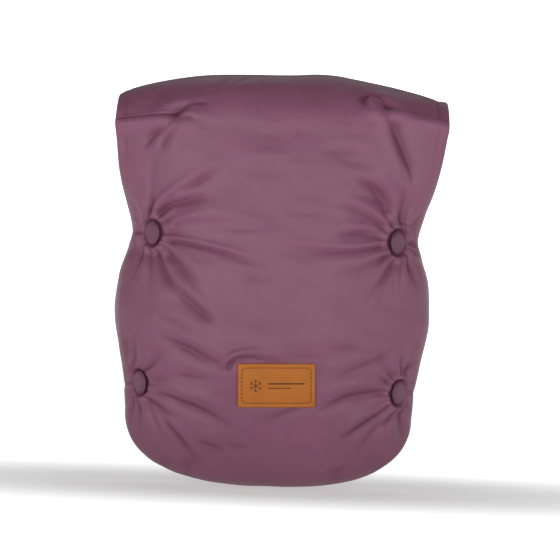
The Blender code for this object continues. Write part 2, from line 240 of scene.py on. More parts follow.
@dataclass(frozen=True)
class PlushFinish:
    """Short cream plush."""

    name: str = "cream_plush"
    colour: tuple = (0.66, 0.62, 0.57)
    tuft: float = 420.0
    depth: float = 0.0016

    def make(self) -> bpy.types.Material:
        """Return the material, fibrous in Object space."""
        n = Nodes(self.name)
        fibres = n.add("TexNoise", Scale=self.tuft, Detail=3.0, Roughness=0.7, Distortion=0.8)
        clumps = n.add("TexVoronoi", Scale=self.tuft / 4)
        n.place(fibres, clumps)
        tone = n.ramp(fibres.outputs["Fac"], [(0.25, shade(self.colour, 0.72)), (0.75, self.colour)])
        low = n.bump(clumps.outputs["Distance"], 0.7, self.depth)
        high = n.bump(fibres.outputs["Fac"], 0.8, self.depth / 2, low.outputs["Normal"])
        return n.finished(tone.outputs["Color"], high, Roughness=0.95, Sheen_Weight=0.6,
                          Sheen_Roughness=0.5, Specular_IOR_Level=0.1)


@dataclass(frozen=True)
class LeatherFinish:
    """Tan leatherette with a fine grain and slightly darker patches."""

    name: str = "tan_leather"
    colour: tuple = (0.365, 0.113, 0.014)
    grain: float = 900.0
    roughness: float = 0.55

    def make(self) -> bpy.types.Material:
        """Return the material, grained in Object space."""
        n = Nodes(self.name)
        cells = n.add("TexVoronoi", Scale=self.grain, feature="SMOOTH_F1")
        patches = n.add("TexNoise", Scale=60.0, Detail=6.0, Roughness=0.65)
        n.place(cells, patches)
        tone = n.ramp(patches.outputs["Fac"], [(0.28, shade(self.colour, 0.88)),
                                               (0.52, self.colour),
                                               (0.76, shade(self.colour, 1.08))])
        n.uneven(patches.outputs["Fac"], self.roughness - 0.08, self.roughness + 0.12)
        dips = n.bump(patches.outputs["Fac"], 0.35, 0.0004)
        grain = n.bump(cells.outputs["Distance"], 0.5, 0.00018, dips.outputs["Normal"])
        return n.finished(tone.outputs["Color"], grain, Specular_IOR_Level=0.22)


@dataclass(frozen=True)
class PlainFinish:
    """Metal, plastic or thread with a faint unevenness."""

    name: str
    colour: tuple
    roughness: float
    metallic: float = 0.0
    scale: float = 300.0
    depth: float = 0.00004

    def make(self) -> bpy.types.Material:
        """Return the material, mottled in Object space."""
        n = Nodes(self.name)
        mottle = n.add("TexNoise", Scale=self.scale, Detail=4.0, Roughness=0.6)
        n.place(mottle)
        tone = n.ramp(mottle.outputs["Fac"], [(0.3, shade(self.colour, 0.86)), (0.7, self.colour)])
        n.uneven(mottle.outputs["Fac"], self.roughness * 0.85, self.roughness * 1.15)
        small = n.bump(mottle.outputs["Fac"], 0.4, self.depth)
        return n.finished(tone.outputs["Color"], small, Metallic=self.metallic)


@dataclass
class Palette:
    """All finishes of the muff, made once."""

    satin: bpy.types.Material = field(default_factory=lambda: SatinFinish().make())
    button_satin: bpy.types.Material = field(
        default_factory=lambda: SatinFinish("button_satin", (0.128, 0.046, 0.076)).make())
    plush: bpy.types.Material = field(default_factory=lambda: PlushFinish().make())
    leather: bpy.types.Material = field(default_factory=lambda: LeatherFinish().make())
    motif: bpy.types.Material = field(
        default_factory=lambda: LeatherFinish("pressed_leather", (0.060, 0.022, 0.010),
                                              roughness=0.7).make())
    label_thread: bpy.types.Material = field(
        default_factory=lambda: PlainFinish("label_thread", (0.070, 0.026, 0.010), 0.7,
                                            scale=2500.0).make())
    thread: bpy.types.Material = field(
        default_factory=lambda: PlainFinish("plum_thread", (0.150, 0.066, 0.098), 0.7,
                                            scale=2500.0).make())
    metal: bpy.types.Material = field(
        default_factory=lambda: PlainFinish("stud_metal", (0.34, 0.32, 0.31), 0.28, 1.0, 500.0).make())
    plastic: bpy.types.Material = field(
        default_factory=lambda: PlainFinish("anchor_plastic", (0.55, 0.53, 0.50), 0.42).make())
    care: bpy.types.Material = field(
        default_factory=lambda: PlainFinish("care_satin", (0.84, 0.84, 0.82), 0.4, scale=1200.0).make())


# ---------------------------------------------------------------- curves and noise


def curve(points: list[tuple[float, float]], at: np.ndarray) -> np.ndarray:
    """Smooth interpolation that never overshoots its points.

    Args:
        points: (x, y) pairs in rising x.
        at: where to read it.

    Returns:
        The values, held level past both ends.
    """
    xs, ys = np.array(points, float).T
    slopes = np.diff(ys) / np.diff(xs)
    product = slopes[:-1] * slopes[1:]
    total = np.where(slopes[:-1] + slopes[1:] == 0, 1, slopes[:-1] + slopes[1:])
    inner = np.where(product > 0, 2 * product / total, 0.0)
    tangents = np.concatenate([slopes[:1], inner, slopes[-1:]])
    at = np.clip(at, xs[0], xs[-1])
    i = np.clip(np.searchsorted(xs, at, side="right") - 1, 0, len(xs) - 2)
    span = xs[i + 1] - xs[i]
    t = (at - xs[i]) / span
    return ((2 * t ** 3 - 3 * t ** 2 + 1) * ys[i] + (t ** 3 - 2 * t ** 2 + t) * span * tangents[i]
            + (3 * t ** 2 - 2 * t ** 3) * ys[i + 1] + (t ** 3 - t ** 2) * span * tangents[i + 1])


def rise(at: np.ndarray, length: float) -> np.ndarray:
    """Quarter-round rise from 0 to 1 over a length."""
    left = np.clip(1.0 - at / length, 0.0, 1.0)
    return np.sqrt(1.0 - left ** 2)


def smooth(at: np.ndarray, low: float, high: float) -> np.ndarray:
    """Smooth step from 0 at low to 1 at high."""
    t = np.clip((at - low) / (high - low), 0.0, 1.0)
    return t * t * (3 - 2 * t)


def bell(distance: np.ndarray, reach: float) -> np.ndarray:
    """Gaussian bell of a distance."""
    return np.exp(-(distance / reach) ** 2)


def soft_noise(x: np.ndarray, y: np.ndarray, cell: tuple[float, float], seed: int) -> np.ndarray:
    """Smooth random field between -1 and 1.

    Args:
        x, y: where to read it, in metres.
        cell: size of one random cell along x and y.
        seed: number that fixes the field.

    Returns:
        The field's values.
    """
    lattice = np.random.default_rng(seed).uniform(-1, 1, (256, 256))
    px, py = x / cell[0] + 128.3, y / cell[1] + 128.7
    ix, iy = np.floor(px).astype(int), np.floor(py).astype(int)
    fx, fy = px - ix, py - iy
    fx, fy = fx * fx * (3 - 2 * fx), fy * fy * (3 - 2 * fy)
    corner = lattice[ix % 256, iy % 256] * (1 - fx) + lattice[(ix + 1) % 256, iy % 256] * fx
    other = (lattice[ix % 256, (iy + 1) % 256] * (1 - fx)
             + lattice[(ix + 1) % 256, (iy + 1) % 256] * fx)
    return corner * (1 - fy) + other * fy


def unevenness(x: np.ndarray, way: np.ndarray, layers: tuple) -> np.ndarray:
    """Add up soft noise, each layer given as (metres, cell, seed)."""
    return sum(size * soft_noise(x, way, cell, seed) for size, cell, seed in layers)


FOLD_DEPTH = 1.3
TENTHS = 10_000


@dataclass(frozen=True)
class Crease:
    """A fold in the cloth along a smooth path of (x, way) points, in metres.

    Its valley is steep on one side, where a lip swells, and shallow on the other.
    """

    path: tuple
    depth: float
    width: float
    strong: Side = Side.START
    steep: int = 1
    lip: float = 0.32

    def points(self) -> np.ndarray:
        """Return the path as a fine polyline through its points."""
        p = np.array(self.path, float)
        ends = np.vstack([2 * p[0] - p[1], p, 2 * p[-1] - p[-2]])
        fine = []
        for a, b, c, d in zip(ends, ends[1:], ends[2:], ends[3:]):
            for t in np.linspace(0, 1, 7)[:-1]:
                fine.append(0.5 * (2 * b + (c - a) * t + (2 * a - 5 * b + 4 * c - d) * t ** 2
                                   + (3 * b - a - 3 * c + d) * t ** 3))
        return np.array(fine + [p[-1]])

    def height(self, x: np.ndarray, way: np.ndarray) -> np.ndarray:
        """Outward displacement of the cloth.

        Args:
            x, way: where to read it, across and along the cloth.

        Returns:
            Metres, negative in the valley and positive on its lip.
        """
        path = self.points()
        steps = np.diff(path, axis=0)
        lengths = np.hypot(*steps.T)
        reach = np.concatenate([[0], np.cumsum(lengths)]) / lengths.sum()
        nearest = np.full(x.shape, 1e9)
        signed = np.zeros(x.shape)
        along = np.zeros(x.shape)
        for k, (start, step) in enumerate(zip(path, steps)):
            dx, dy = x - start[0], way - start[1]
            t = np.clip((dx * step[0] + dy * step[1]) / (step @ step), 0, 1)
            distance = np.hypot(dx - t * step[0], dy - t * step[1])
            nearer = distance < nearest
            nearest = np.where(nearer, distance, nearest)
            side = np.sign(step[0] * dy - step[1] * dx)
            signed = np.where(nearer, side * distance, signed)
            along = np.where(nearer, reach[k] + t * (reach[k + 1] - reach[k]), along)
        signed = signed * self.steep
        comes, goes = self.strong.value
        fade = smooth(along, *comes) * (1 - smooth(along, *goes))
        wide = self.width * (0.75 + 0.55 * along)
        reach_out = np.where(signed > 0, 0.66, 1.55) * wide
        valley = -np.exp(-(nearest / reach_out) ** 1.2)
        lip = np.exp(-((signed - 2.1 * wide) / (1.5 * wide)) ** 2)
        return FOLD_DEPTH * self.depth * fade * (valley + self.lip * lip)


def fold(depth: int, width: int, strong: Side, steep: int, *path: int, lip: float = 0.32) -> Crease:
    """Make a crease from sizes in tenths of a millimetre.

    Args:
        depth, width: how deep and how wide its valley is.
        strong: its strong part.
        steep: 1 or -1, the side that is steep.
        path: x, way, x, way and so on, from its start to its end.
        lip: share of the depth that the lip swells.

    Returns:
        The crease, in metres.
    """
    metres = [value / TENTHS for value in path]
    points = tuple(zip(metres[::2], metres[1::2]))
    return Crease(points, depth / TENTHS, width / TENTHS, strong, steep, lip)


# ---------------------------------------------------------------- the stuffed shape


@dataclass
class MuffShape:
    """Outer faces of the three panels, as smooth surfaces over (way, share of the width)."""

    floor: float
    half_width: float
    seam: float = 0.0007
    side_power: float = 2.2
    arch_power: float = 2.6
    crest_start: float = 0.372
    crest_length: float = 0.150
    crest_centre: tuple = (-0.013, 0.375, 0.057, 0.056)
    crest_edge: tuple = (0.000, 0.372, 0.045, 0.032)
    crest_half_width: float = 0.171
    fold_angles: tuple = (math.radians(12), math.radians(21.5))
    corner: tuple = (0.075, 0.151, 2.2, 0.357)
    outline: tuple = ((0.075, 0.151), (0.104, 0.1528), (0.135, 0.158), (0.180, 0.165),
                      (0.215, 0.1625), (0.245, 0.154), (0.262, 0.1504), (0.288, 0.156),
                      (0.314, 0.164), (0.340, 0.1696), (0.372, 0.174))
    front_belly: tuple = (0.080, 0.180)
    front_centre: tuple = ((0.180, -0.080), (0.235, -0.080), (0.300, -0.077), (0.340, -0.074),
                           (0.372, -0.070))
    front_edge: tuple = ((0.104, -0.0007), (0.142, -0.008), (0.235, -0.008), (0.262, -0.014),
                         (0.300, -0.024), (0.340, -0.039), (0.372, -0.045))
    back_belly: tuple = (0.060, 0.160)
    back_centre: tuple = ((0.160, 0.060), (0.200, 0.058), (0.232, 0.048), (0.256, 0.0375),
                          (0.302, 0.0375))
    back_edge: tuple = ((0.104, 0.0007), (0.142, 0.030), (0.232, 0.0305), (0.302, 0.0305))
    flap_bottom: float = 0.254
    flap_length: float = 0.130
    crest_shift: float = 0.0030
    crest_ends: tuple = (0.0010, 0.0062)
    crest_swell: float = 0.0010

    def __post_init__(self) -> None:
        """Work out the fold line and what hangs from it."""
        centre, edge = self.crest_centre, self.crest_edge
        self.fold_y = centre[0] + centre[2] * math.cos(self.fold_angles[0])
        self.fold_height = centre[1] + centre[3] * math.sin(self.fold_angles[0])
        self.fold_way = self.crest_start + self.crest_length
        self.stretch = self.half_width / self.outline[-1][1]
        self.flap_centre = ((0.254, 0.0455), (0.290, 0.0455), (0.314, 0.055), (0.345, 0.056),
                            (self.fold_height, self.fold_y))
        self.flap_edge = ((0.254, 0.0385), (0.290, 0.0385), (0.345, 0.041),
                          (self.fold_height, self.fold_y - 0.001))

    def width(self, height: np.ndarray) -> np.ndarray:
        """Half the width at heights above the bottom seam."""
        top, wide, a, b = self.corner
        corner = wide * (1 - np.clip(1 - height / top, 0, 1) ** a) ** b
        return self.stretch * np.where(height < top, np.maximum(0.020, corner),
                                       curve(self.outline, height))

    def section(self, centre: tuple, edge: tuple, width: np.ndarray, u: np.ndarray,
                archness: np.ndarray) -> np.ndarray:
        """Points of sections between centre and edge, each a (y, height) pair.

        Args:
            centre, edge: where the sections' middles and edges lie.
            width: half widths.
            u: share of the half width, -1 to 1.
            archness: 0 where the edge turns sideways, 1 where it ends at a slant.

        Returns:
            Points in the frame, with a last axis of three.
        """
        size = np.clip(np.abs(u), 0, 1)
        rounded = (1 - size ** self.side_power) ** (1 / self.side_power)
        share = (1 - archness) * rounded + archness * (1 - size ** self.arch_power)
        y = edge[0] + (centre[0] - edge[0]) * share
        height = edge[1] + (centre[1] - edge[1]) * share
        return np.stack([width * u, y, height + self.floor], -1)

    def front(self, way: np.ndarray, u: np.ndarray) -> np.ndarray:
        """Front panel: way is the height, then the way over the crest to the fold."""
        depth, full = self.front_belly
        belly = -self.seam - (depth - self.seam) * rise(way, full)
        centre_y = np.where(way < full, belly, curve(self.front_centre, way))
        archness = np.clip((way - 0.29) / 0.08, 0, 1)
        face = self.section((centre_y, way), (curve(self.front_edge, way), way), self.width(way),
                            u, archness)
        share = np.clip((way - self.crest_start) / self.crest_length, 0, 1)
        turns = [math.pi + (end - math.pi) * share for end in self.fold_angles]
        ends = [(e[0] + e[2] * np.cos(a), e[1] + e[3] * np.sin(a))
                for e, a in zip((self.crest_centre, self.crest_edge), turns)]
        wide = self.stretch * (self.crest_half_width + 0.003 * np.maximum(0, -np.cos(turns[0])))
        crest = self.section(ends[0], ends[1], wide, u, np.ones_like(u))
        return np.where((way > self.crest_start)[..., None], crest, face)

    def back(self, way: np.ndarray, u: np.ndarray) -> np.ndarray:
        """Back panel: way is the height."""
        depth, full = self.back_belly
        belly = self.seam + (depth - self.seam) * rise(way, full)
        centre_y = np.where(way < full, belly, curve(self.back_centre, way))
        archness = np.clip((way - 0.20) / 0.05, 0, 1)
        return self.section((centre_y, way), (curve(self.back_edge, way), way),
                            self.width(way) - 0.001, u, archness)

    def warp(self, points: np.ndarray) -> np.ndarray:
        """Skew the crest a little, as the hung cloth does.

        Args:
            points: points in the frame.

        Returns:
            The same points, shifted near the crest.
        """
        high = smooth(points[..., 2] - self.floor, 0.290, 0.395)
        moved = points.copy()
        share = np.clip(points[..., 0] / self.half_width, -1, 1)
        moved[..., 0] += self.crest_shift * high
        ends = np.where(share > 0, self.crest_ends[1], self.crest_ends[0])
        tilt = ends * (0.35 * np.abs(share) + 0.65 * np.abs(share) ** 3)
        moved[..., 2] += high * (tilt + self.crest_swell * (1 - share ** 4))
        return moved

    def flap(self, way: np.ndarray, u: np.ndarray) -> np.ndarray:
        """Flap: way starts on the crest as the front's does and goes on past the fold."""
        down = np.clip(way - self.fold_way, 0, None) / self.flap_length
        height = self.fold_height + (self.flap_bottom - self.fold_height) * down
        edge_height = height - 0.003 * (1 - down) + 0.012 * down ** 6
        wide = np.minimum(0.168, self.width(height) - 0.002)
        merge = smooth(down, 0.0, 0.12)
        wide = (1 - merge) * self.crest_half_width * self.stretch + merge * wide
        hanging = self.section((curve(self.flap_centre, height), height),
                               (curve(self.flap_edge, height), edge_height), wide, u,
                               np.ones_like(u))
        return np.where((way > self.fold_way)[..., None], hanging, self.front(way, u))


def outward(surface: object, way: np.ndarray, u: np.ndarray, sign: float) -> np.ndarray:
    """Unit normals of a surface, by differences kept inside its edges.

    Args:
        surface: one of MuffShape's faces.
        way, u: where to read it.
        sign: 1, or -1 where the face looks the other way.

    Returns:
        Normals, with a last axis of three.
    """
    step = 0.0004
    way = np.maximum(way, 1.5 * step)
    u0, u1 = np.maximum(-0.9999, u - step), np.minimum(0.9999, u + step)
    across = surface(way, u1) - surface(way, u0)
    along = surface(way + step, u0) - surface(way - step, u0)
    normal = np.cross(across, along) * sign
    return normal / np.maximum(np.linalg.norm(normal, axis=-1, keepdims=True), 1e-12)


# ---------------------------------------------------------------- mesh building


def link(name: str, mesh: bpy.types.Mesh, material: bpy.types.Material) -> bpy.types.Object:
    """Put a mesh into the scene as a named piece with one material."""
    mesh.materials.clear()
    mesh.materials.append(material)
    piece = bpy.data.objects.new(name, mesh)
    bpy.context.scene.collection.objects.link(piece)
    return piece


def face_outwards(mesh: bpy.types.Mesh) -> None:
    """Turn all faces of a closed mesh outwards."""
    bm = bmesh.new()
    bm.from_mesh(mesh)
    bmesh.ops.recalc_face_normals(bm, faces=bm.faces)
    bm.to_mesh(mesh)
    bm.free()


def grid_faces(rows: int, columns: int, first: int) -> np.ndarray:
    """Quads of a grid of vertices that starts at index first."""
    index = first + np.arange(rows * columns).reshape(rows, columns)
    return np.stack([index[:-1, :-1], index[:-1, 1:], index[1:, 1:], index[1:, :-1]], -1).reshape(-1, 4)


def border(rows: int, columns: int) -> np.ndarray:
    """Indices round a grid's border, in order."""
    index = np.arange(rows * columns).reshape(rows, columns)
    return np.concatenate([index[0, :-1], index[:-1, -1], index[-1, :0:-1], index[:0:-1, 0]])


def closed_pad(name: str, outer: np.ndarray, inner: np.ndarray, cloth: np.ndarray,
               material: bpy.types.Material, bulge: float) -> bpy.types.Object:
    """A closed pad between two grids of points, with a rounded rim.

    Args:
        name: the piece's name.
        outer, inner: grids of points, rows by columns by three.
        cloth: the cloth's own flat coordinates of the outer grid, in metres.
        material: its finish.
        bulge: how far the rim stands out, in metres.

    Returns:
        The piece, shaded smooth, with a UV map called cloth.
    """
    rows, columns = outer.shape[:2]
    ring = border(rows, columns)
    inside = np.clip(np.stack(np.divmod(ring, columns), -1), [1, 1], [rows - 2, columns - 2])
    flat_outer, flat_inner = outer.reshape(-1, 3), inner.reshape(-1, 3)
    away = flat_outer[ring] - flat_outer[inside[:, 0] * columns + inside[:, 1]]
    away /= np.maximum(np.linalg.norm(away, axis=1, keepdims=True), 1e-9)
    points = [flat_outer, flat_inner]
    loops = [ring]
    count = 2 * rows * columns
    for share in (0.2, 0.5, 0.8):
        middle = flat_outer[ring] * (1 - share) + flat_inner[ring] * share
        points.append(middle + away * bulge * math.sin(math.pi * share))
        loops.append(count + np.arange(len(ring)))
        count += len(ring)
    loops.append(ring + rows * columns)
    faces = [grid_faces(rows, columns, 0), grid_faces(rows, columns, rows * columns)[:, ::-1]]
    for a, b in zip(loops, loops[1:]):
        faces.append(np.stack([a, b, np.roll(b, -1), np.roll(a, -1)], -1))
    points = np.concatenate(points)
    mesh = bpy.data.meshes.new(name)
    mesh.from_pydata(points.tolist(), [], np.concatenate(faces).tolist())
    flat_cloth = cloth.reshape(-1, 2)
    around = np.concatenate([flat_cloth, flat_cloth] + [flat_cloth[ring]] * 3)
    corners = np.empty(len(mesh.loops), np.int32)
    mesh.loops.foreach_get("vertex_index", corners)
    uv = mesh.uv_layers.new(name="cloth")
    uv.data.foreach_set("uv", around[corners].astype(np.float32).ravel())
    face_outwards(mesh)
    mesh.shade_smooth()
    return link(name, mesh, material)


ROUND_THE_SIDES = 1.2


@dataclass
class Quilt:
    """One quilted panel: its surface, its layers' depths and the shape of its cloth."""

    surface: object
    rows: np.ndarray
    columns: np.ndarray
    wadding: object
    relief: object
    sign: float = 1.0
    pull: object = None
    warp: object = None

    shell: float = 0.0012
    lining: float = 0.0015
    between: float = 0.0005
    tuft_depth: float = 0.008
    tuft_squeeze: float = 0.70

    def grid(self, thin: int = 1) -> tuple[np.ndarray, ...]:
        """Lay the panel out.

        Args:
            thin: take every so-manieth row and column.

        Returns:
            Way, share of width, points, outward normals and wadding depth.
        """
        rows = np.unique(np.append(self.rows[::thin], self.rows[-1]))
        columns = np.unique(np.append(self.columns[::thin], self.columns[-1]))
        way, u = np.meshgrid(rows, columns, indexing="ij")
        points = self.surface(way, u)
        normals = outward(self.surface, way, u, self.sign)
        thick = self.wadding(way, u)
        if self.pull is not None:
            drawn = self.pull(points)
            points = points - normals * (self.tuft_depth * drawn)[..., None]
            thick = thick * (1 - self.tuft_squeeze * drawn)
        return way, u, points, normals, thick

    def pad(self, name: str, material: bpy.types.Material, bulge: float) -> bpy.types.Object:
        """Make the outer cloth with its filling as one closed puffed piece, carrying painted shade for
        its crease valleys.

        Args:
            name: the piece's name.
            material: the outer cloth's finish.
            bulge: how far its rim stands out.

        Returns:
            The piece.
        """
        way, u, points, normals, thick = self.grid()
        lift = self.relief(way, u, points)
        # painted shade: how far the relief dips below its blurred surroundings, used to darken the colour
        # in crease valleys
        painted_crease_shade = np.clip((blurred(lift, 7) - lift) / 0.0022, 0.0, 1.0)
        room = 0.0035 + 0.45 * (thick + self.shell)
        lift = np.where(lift < 0, -room_limited(-lift, room), lift)
        outer = points + normals * lift[..., None]
        inner = points - normals * (self.shell + self.between + np.maximum(thick, 0.0004))[..., None]
        cloth = np.stack([points[..., 0] * ROUND_THE_SIDES, way], -1)
        if self.warp is not None:
            outer, inner = self.warp(outer), self.warp(inner)
        pad = closed_pad(name, outer, inner, cloth, material, bulge)
        values = np.zeros(len(pad.data.vertices), np.float32)
        values[:painted_crease_shade.size] = painted_crease_shade.ravel()
        pad.data.attributes.new("painted_crease_shade", "FLOAT", "POINT").data.foreach_set("value", values)
        return pad

    def sheet(self, name: str, material: bpy.types.Material, seed: int) -> bpy.types.Object:
        """Make the plush lining as a closed sheet behind the pad.

        Args:
            name: the piece's name.
            material: the lining's finish.
            seed: number that fixes its unevenness.

        Returns:
            The piece.
        """
        way, u, points, normals, thick = self.grid(2)
        near = self.shell + 2 * self.between + thick
        uneven = 0.0008 * (soft_noise(points[..., 0], way, (0.012, 0.012), seed)
                           + soft_noise(points[..., 0], way, (0.005, 0.005), seed + 1)) + 0.0008
        level = 1 - 0.9 * smooth(np.abs(u), 0.97, 1.0)
        outer = points - normals * near[..., None]
        inner = points - normals * (near + self.lining + uneven * level)[..., None]
        cloth = np.stack([points[..., 0] * ROUND_THE_SIDES, way], -1)
        if self.warp is not None:
            outer, inner = self.warp(outer), self.warp(inner)
        return closed_pad(name, outer, inner, cloth, material, 0.0006)


def blurred(field_values: np.ndarray, reach: int) -> np.ndarray:
    """Smooth a grid of values over some crossings each way, edges held."""
    kernel = np.hanning(2 * reach + 3)[1:-1]
    kernel /= kernel.sum()
    for axis in (0, 1):
        padded = np.pad(field_values, [(reach, reach) if a == axis else (0, 0) for a in (0, 1)], "edge")
        field_values = np.apply_along_axis(np.convolve, axis, padded, kernel, "valid")
    return field_values


def room_limited(depth: np.ndarray, room: np.ndarray) -> np.ndarray:
    """Ease a depth towards a limit that it never passes."""
    return room * np.tanh(depth / np.maximum(room, 1e-6))


def even_columns(pitch: float, fine: float, fine_from: float = 0.78) -> np.ndarray:
    """Shares of the half width, closer together where the cloth turns sideways.

    Args:
        pitch, fine: steps in the middle and near the sides, as shares.
        fine_from: share where the fine steps begin.

    Returns:
        Rising shares from -1 to 1.
    """
    middle = np.arange(0.0, fine_from, pitch)
    side = np.arange(fine_from, 0.985, fine)
    half = np.concatenate([middle, side, [0.990, 0.9945, 0.9975, 0.9993, 1.0]])
    return np.concatenate([-half[:0:-1], half])


def fine_rows(bottom: list[float], end: float, pitch: float, fine: float,
              bands: list[tuple[float, float]]) -> np.ndarray:
    """Ways along a panel, closer together inside some bands.

    Args:
        bottom: first ways, given one by one.
        end: last way.
        pitch, fine: steps outside and inside the bands.
        bands: (start, end) of each band.

    Returns:
        Rising ways.
    """
    rows = list(bottom)
    while rows[-1] < end:
        inside = any(low <= rows[-1] < high for low, high in bands)
        rows.append(rows[-1] + (fine if inside else pitch))
    rows[-1] = end
    if end - rows[-2] < fine / 2:
        rows.pop(-2)
    return np.array(rows)


# ---------------------------------------------------------------- the front


CREST_SEAM = 0.492
TUFT_REACH = 0.023


@dataclass
class FrontCloth:
    """Relief of the front's outer cloth: puffs, tufts, darts and creases."""

    shape: MuffShape
    tufts: list = field(default_factory=list)
    dart_left: tuple = ((-0.180, 0.3825), (-0.111, 0.3825))
    dart_right: tuple = ((0.180, 0.3905), (0.109, 0.4000))

    def creases(self) -> list[Crease]:
        """Return every fold that leaves a tuft, a dart or the label."""
        start, mid, end = Side.START, Side.MIDDLE, Side.END
        return [
            # from the upper left button
            fold(62, 52, start, 1, -1240, 2760, -1180, 2850, -1060, 2920, -860, 2970, -560, 3035),
            fold(26, 38, start, 1, -1300, 2780, -1290, 2900, -1220, 3040, -1100, 3140),
            fold(30, 22, start, 1, -1140, 2540, -920, 2510, -540, 2430, -220, 2340, 140, 2300),
            fold(16, 40, start, 1, -1100, 2700, -840, 2740, -500, 2750, -240, 2780),
            fold(44, 36, start, 1, -1230, 2440, -1180, 2280, -1070, 2110, -910, 1970, -740, 1840),
            fold(34, 40, end, 1, -1040, 2080, -900, 1940, -720, 1800, -530, 1645),
            fold(34, 50, start, 1, -1140, 2420, -1000, 2300, -820, 2100, -620, 1860),
            fold(9, 40, mid, 1, -600, 2660, -360, 2670, -80, 2700),
            fold(30, 36, mid, 1, -1210, 2890, -1026, 3035, -800, 3180, -638, 3270, -480, 3350),
            fold(30, 50, mid, -1, -1580, 1540, -1510, 1380, -1460, 1220),
            # from the upper right button
            fold(66, 48, mid, -1, 1270, 2790, 1215, 2930, 1110, 3070, 950, 3195, 770, 3290),
            fold(46, 52, start, 1, 1310, 2770, 1340, 2980, 1330, 3220),
            fold(26, 32, mid, -1, 1170, 2680, 980, 2700, 760, 2680, 500, 2640),
            fold(28, 34, start, -1, 1180, 2740, 990, 2870, 760, 2960, 480, 2980),
            fold(16, 30, mid, -1, 1200, 2960, 1030, 3040, 800, 3080, 600, 3060),
            fold(24, 26, start, -1, 1180, 2580, 980, 2530, 680, 2490, 340, 2500, -120, 2540),
            fold(28, 56, mid, 1, 520, 1100, 750, 1200, 995, 1310, 1220, 1430, 1430, 1575),
            fold(26, 46, mid, -1, 460, 885, 260, 820, 60, 745, -120, 670),
            fold(9, 34, mid, 1, 100, 2900, 400, 2860, 760, 2880),
            fold(9, 40, mid, 1, -520, 2260, -200, 2180, 200, 2140),
            fold(28, 36, start, -1, 1210, 2500, 1060, 2400, 860, 2320, 580, 2300),
            fold(30, 42, start, -1, 1260, 2460, 1190, 2300, 1080, 2140, 940, 2020),
            fold(18, 60, mid, -1, 1120, 3220, 860, 3380, 560, 3460),
            fold(14, 50, mid, -1, 1000, 3460, 720, 3520, 400, 3520),
            # from the lower left button
            fold(56, 52, mid, 1, -1250, 1007, -1090, 930, -930, 860, -720, 785, -500, 690, -310, 570),
            fold(44, 34, start, 1, -1300, 905, -1190, 815, -1050, 726, -840, 650),
            fold(34, 32, mid, 1, -1220, 820, -1080, 646, -937, 495, -804, 340, -608, 160),
            fold(24, 36, start, 1, -1300, 840, -1184, 643, -1070, 437, -990, 280),
            fold(26, 46, mid, 1, -800, 470, -580, 415, -380, 345),
            fold(14, 40, mid, 1, -460, 460, -300, 420, -140, 410),
            fold(24, 66, mid, 1, -1040, 1160, -780, 1110, -520, 1110),
            fold(50, 48, mid, 1, -1190, 1545, -980, 1470, -780, 1385, -610, 1300, -480, 1268,
                 -380, 1290),
            fold(14, 50, mid, 1, -1280, 1780, -1040, 1680, -780, 1640),
            # from the lower right button
            fold(66, 64, mid, -1, 1270, 1040, 980, 999, 800, 953, 645, 873, 400, 760),
            fold(50, 36, mid, -1, 1300, 910, 1175, 805, 1020, 700, 860, 585, 660, 510),
            fold(32, 50, start, -1, 1360, 850, 1260, 740, 1130, 630, 980, 465, 800, 300),
            fold(16, 20, start, -1, 1395, 840, 1412, 680, 1417, 500),
            fold(12, 50, mid, -1, 980, 280, 760, 210, 500, 160),
            fold(44, 40, mid, 1, 1560, 1420, 1450, 1260, 1300, 1160, 1140, 1100),
            fold(16, 64, mid, -1, 1120, 1400, 780, 1480, 520, 1440),
            # over the label
            fold(44, 28, start, 1, -450, 1190, -420, 1275, -325, 1338, -190, 1352, -40, 1335, 240, 1330,
                 lip=0.7),
            # fanning down from the ends of the darts
            fold(36, 34, mid, 1, -1080, 3770, -1185, 3710, -1325, 3600, -1455, 3420),
            fold(28, 34, mid, 1, -1050, 3740, -1130, 3640, -1195, 3560, -1270, 3420),
            fold(16, 44, start, 1, -1000, 3810, -840, 3740, -640, 3740),
            fold(58, 42, end, -1, 1120, 3920, 1180, 3730, 1275, 3520, 1365, 3350, 1435, 3120),
            fold(30, 44, mid, -1, 1035, 3960, 1135, 3780, 1225, 3580, 1290, 3440),
            fold(40, 27, mid, 1, 1085, 4030, 1010, 4100, 920, 4130, 850, 4075, 875, 3980, 975, 3905),
            fold(32, 26, mid, -1, -1125, 3800, -1060, 3862, -995, 3915, -935, 3895),
            fold(16, 26, mid, -1, -980, 3915, -860, 3935, -740, 3905),
            fold(8, 36, mid, 1, -600, 4100, -360, 4320, -240, 4480),
            fold(8, 32, mid, 1, -840, 4000, -620, 4200, -460, 4380),
        ]

    def tuft(self, x: np.ndarray, way: np.ndarray, radius: np.ndarray, index: int) -> np.ndarray:
        """Gathers round one button, and the cloth that swells up against its rim.

        Args:
            x, way: flat place on the cloth.
            radius: distance from the button's middle.
            index: which button.

        Returns:
            Outward displacement in metres.
        """
        centre = self.tufts[index]
        angle = np.arctan2(way - (centre[2] - self.shape.floor), (x - centre[0]) * 1.55)
        rng = np.random.default_rng(40 + index)
        gathers = 0.0
        for folds, size, reach in ((3, 0.0012, 0.070), (5, 0.0014, 0.056), (8, 0.0014, 0.042),
                                   (12, 0.0014, 0.029), (17, 0.0012, 0.019), (23, 0.0006, 0.011)):
            wave = 1.7 * np.abs(np.sin(folds / 2 * angle + rng.uniform(0, math.pi))) ** 0.8 - 1.0
            gathers = gathers + size * wave * bell(np.maximum(radius - 0.014, 0), reach)
        gathers = gathers * smooth(radius, 0.0120, 0.0175)
        sunk = 0.72 * (1 - smooth(radius, 0.0120, 0.0160)) + 0.28 * bell(radius, 0.036)
        pulled = np.exp(-(radius / TUFT_REACH) ** 4)
        out = (x - centre[0]) * np.sign(centre[0])
        tilt = -0.24 * out * np.exp(-(radius / 0.0165) ** 6)
        return 0.008 * (pulled - sunk) + tilt + gathers - 0.0012 * bell(radius, 0.070)

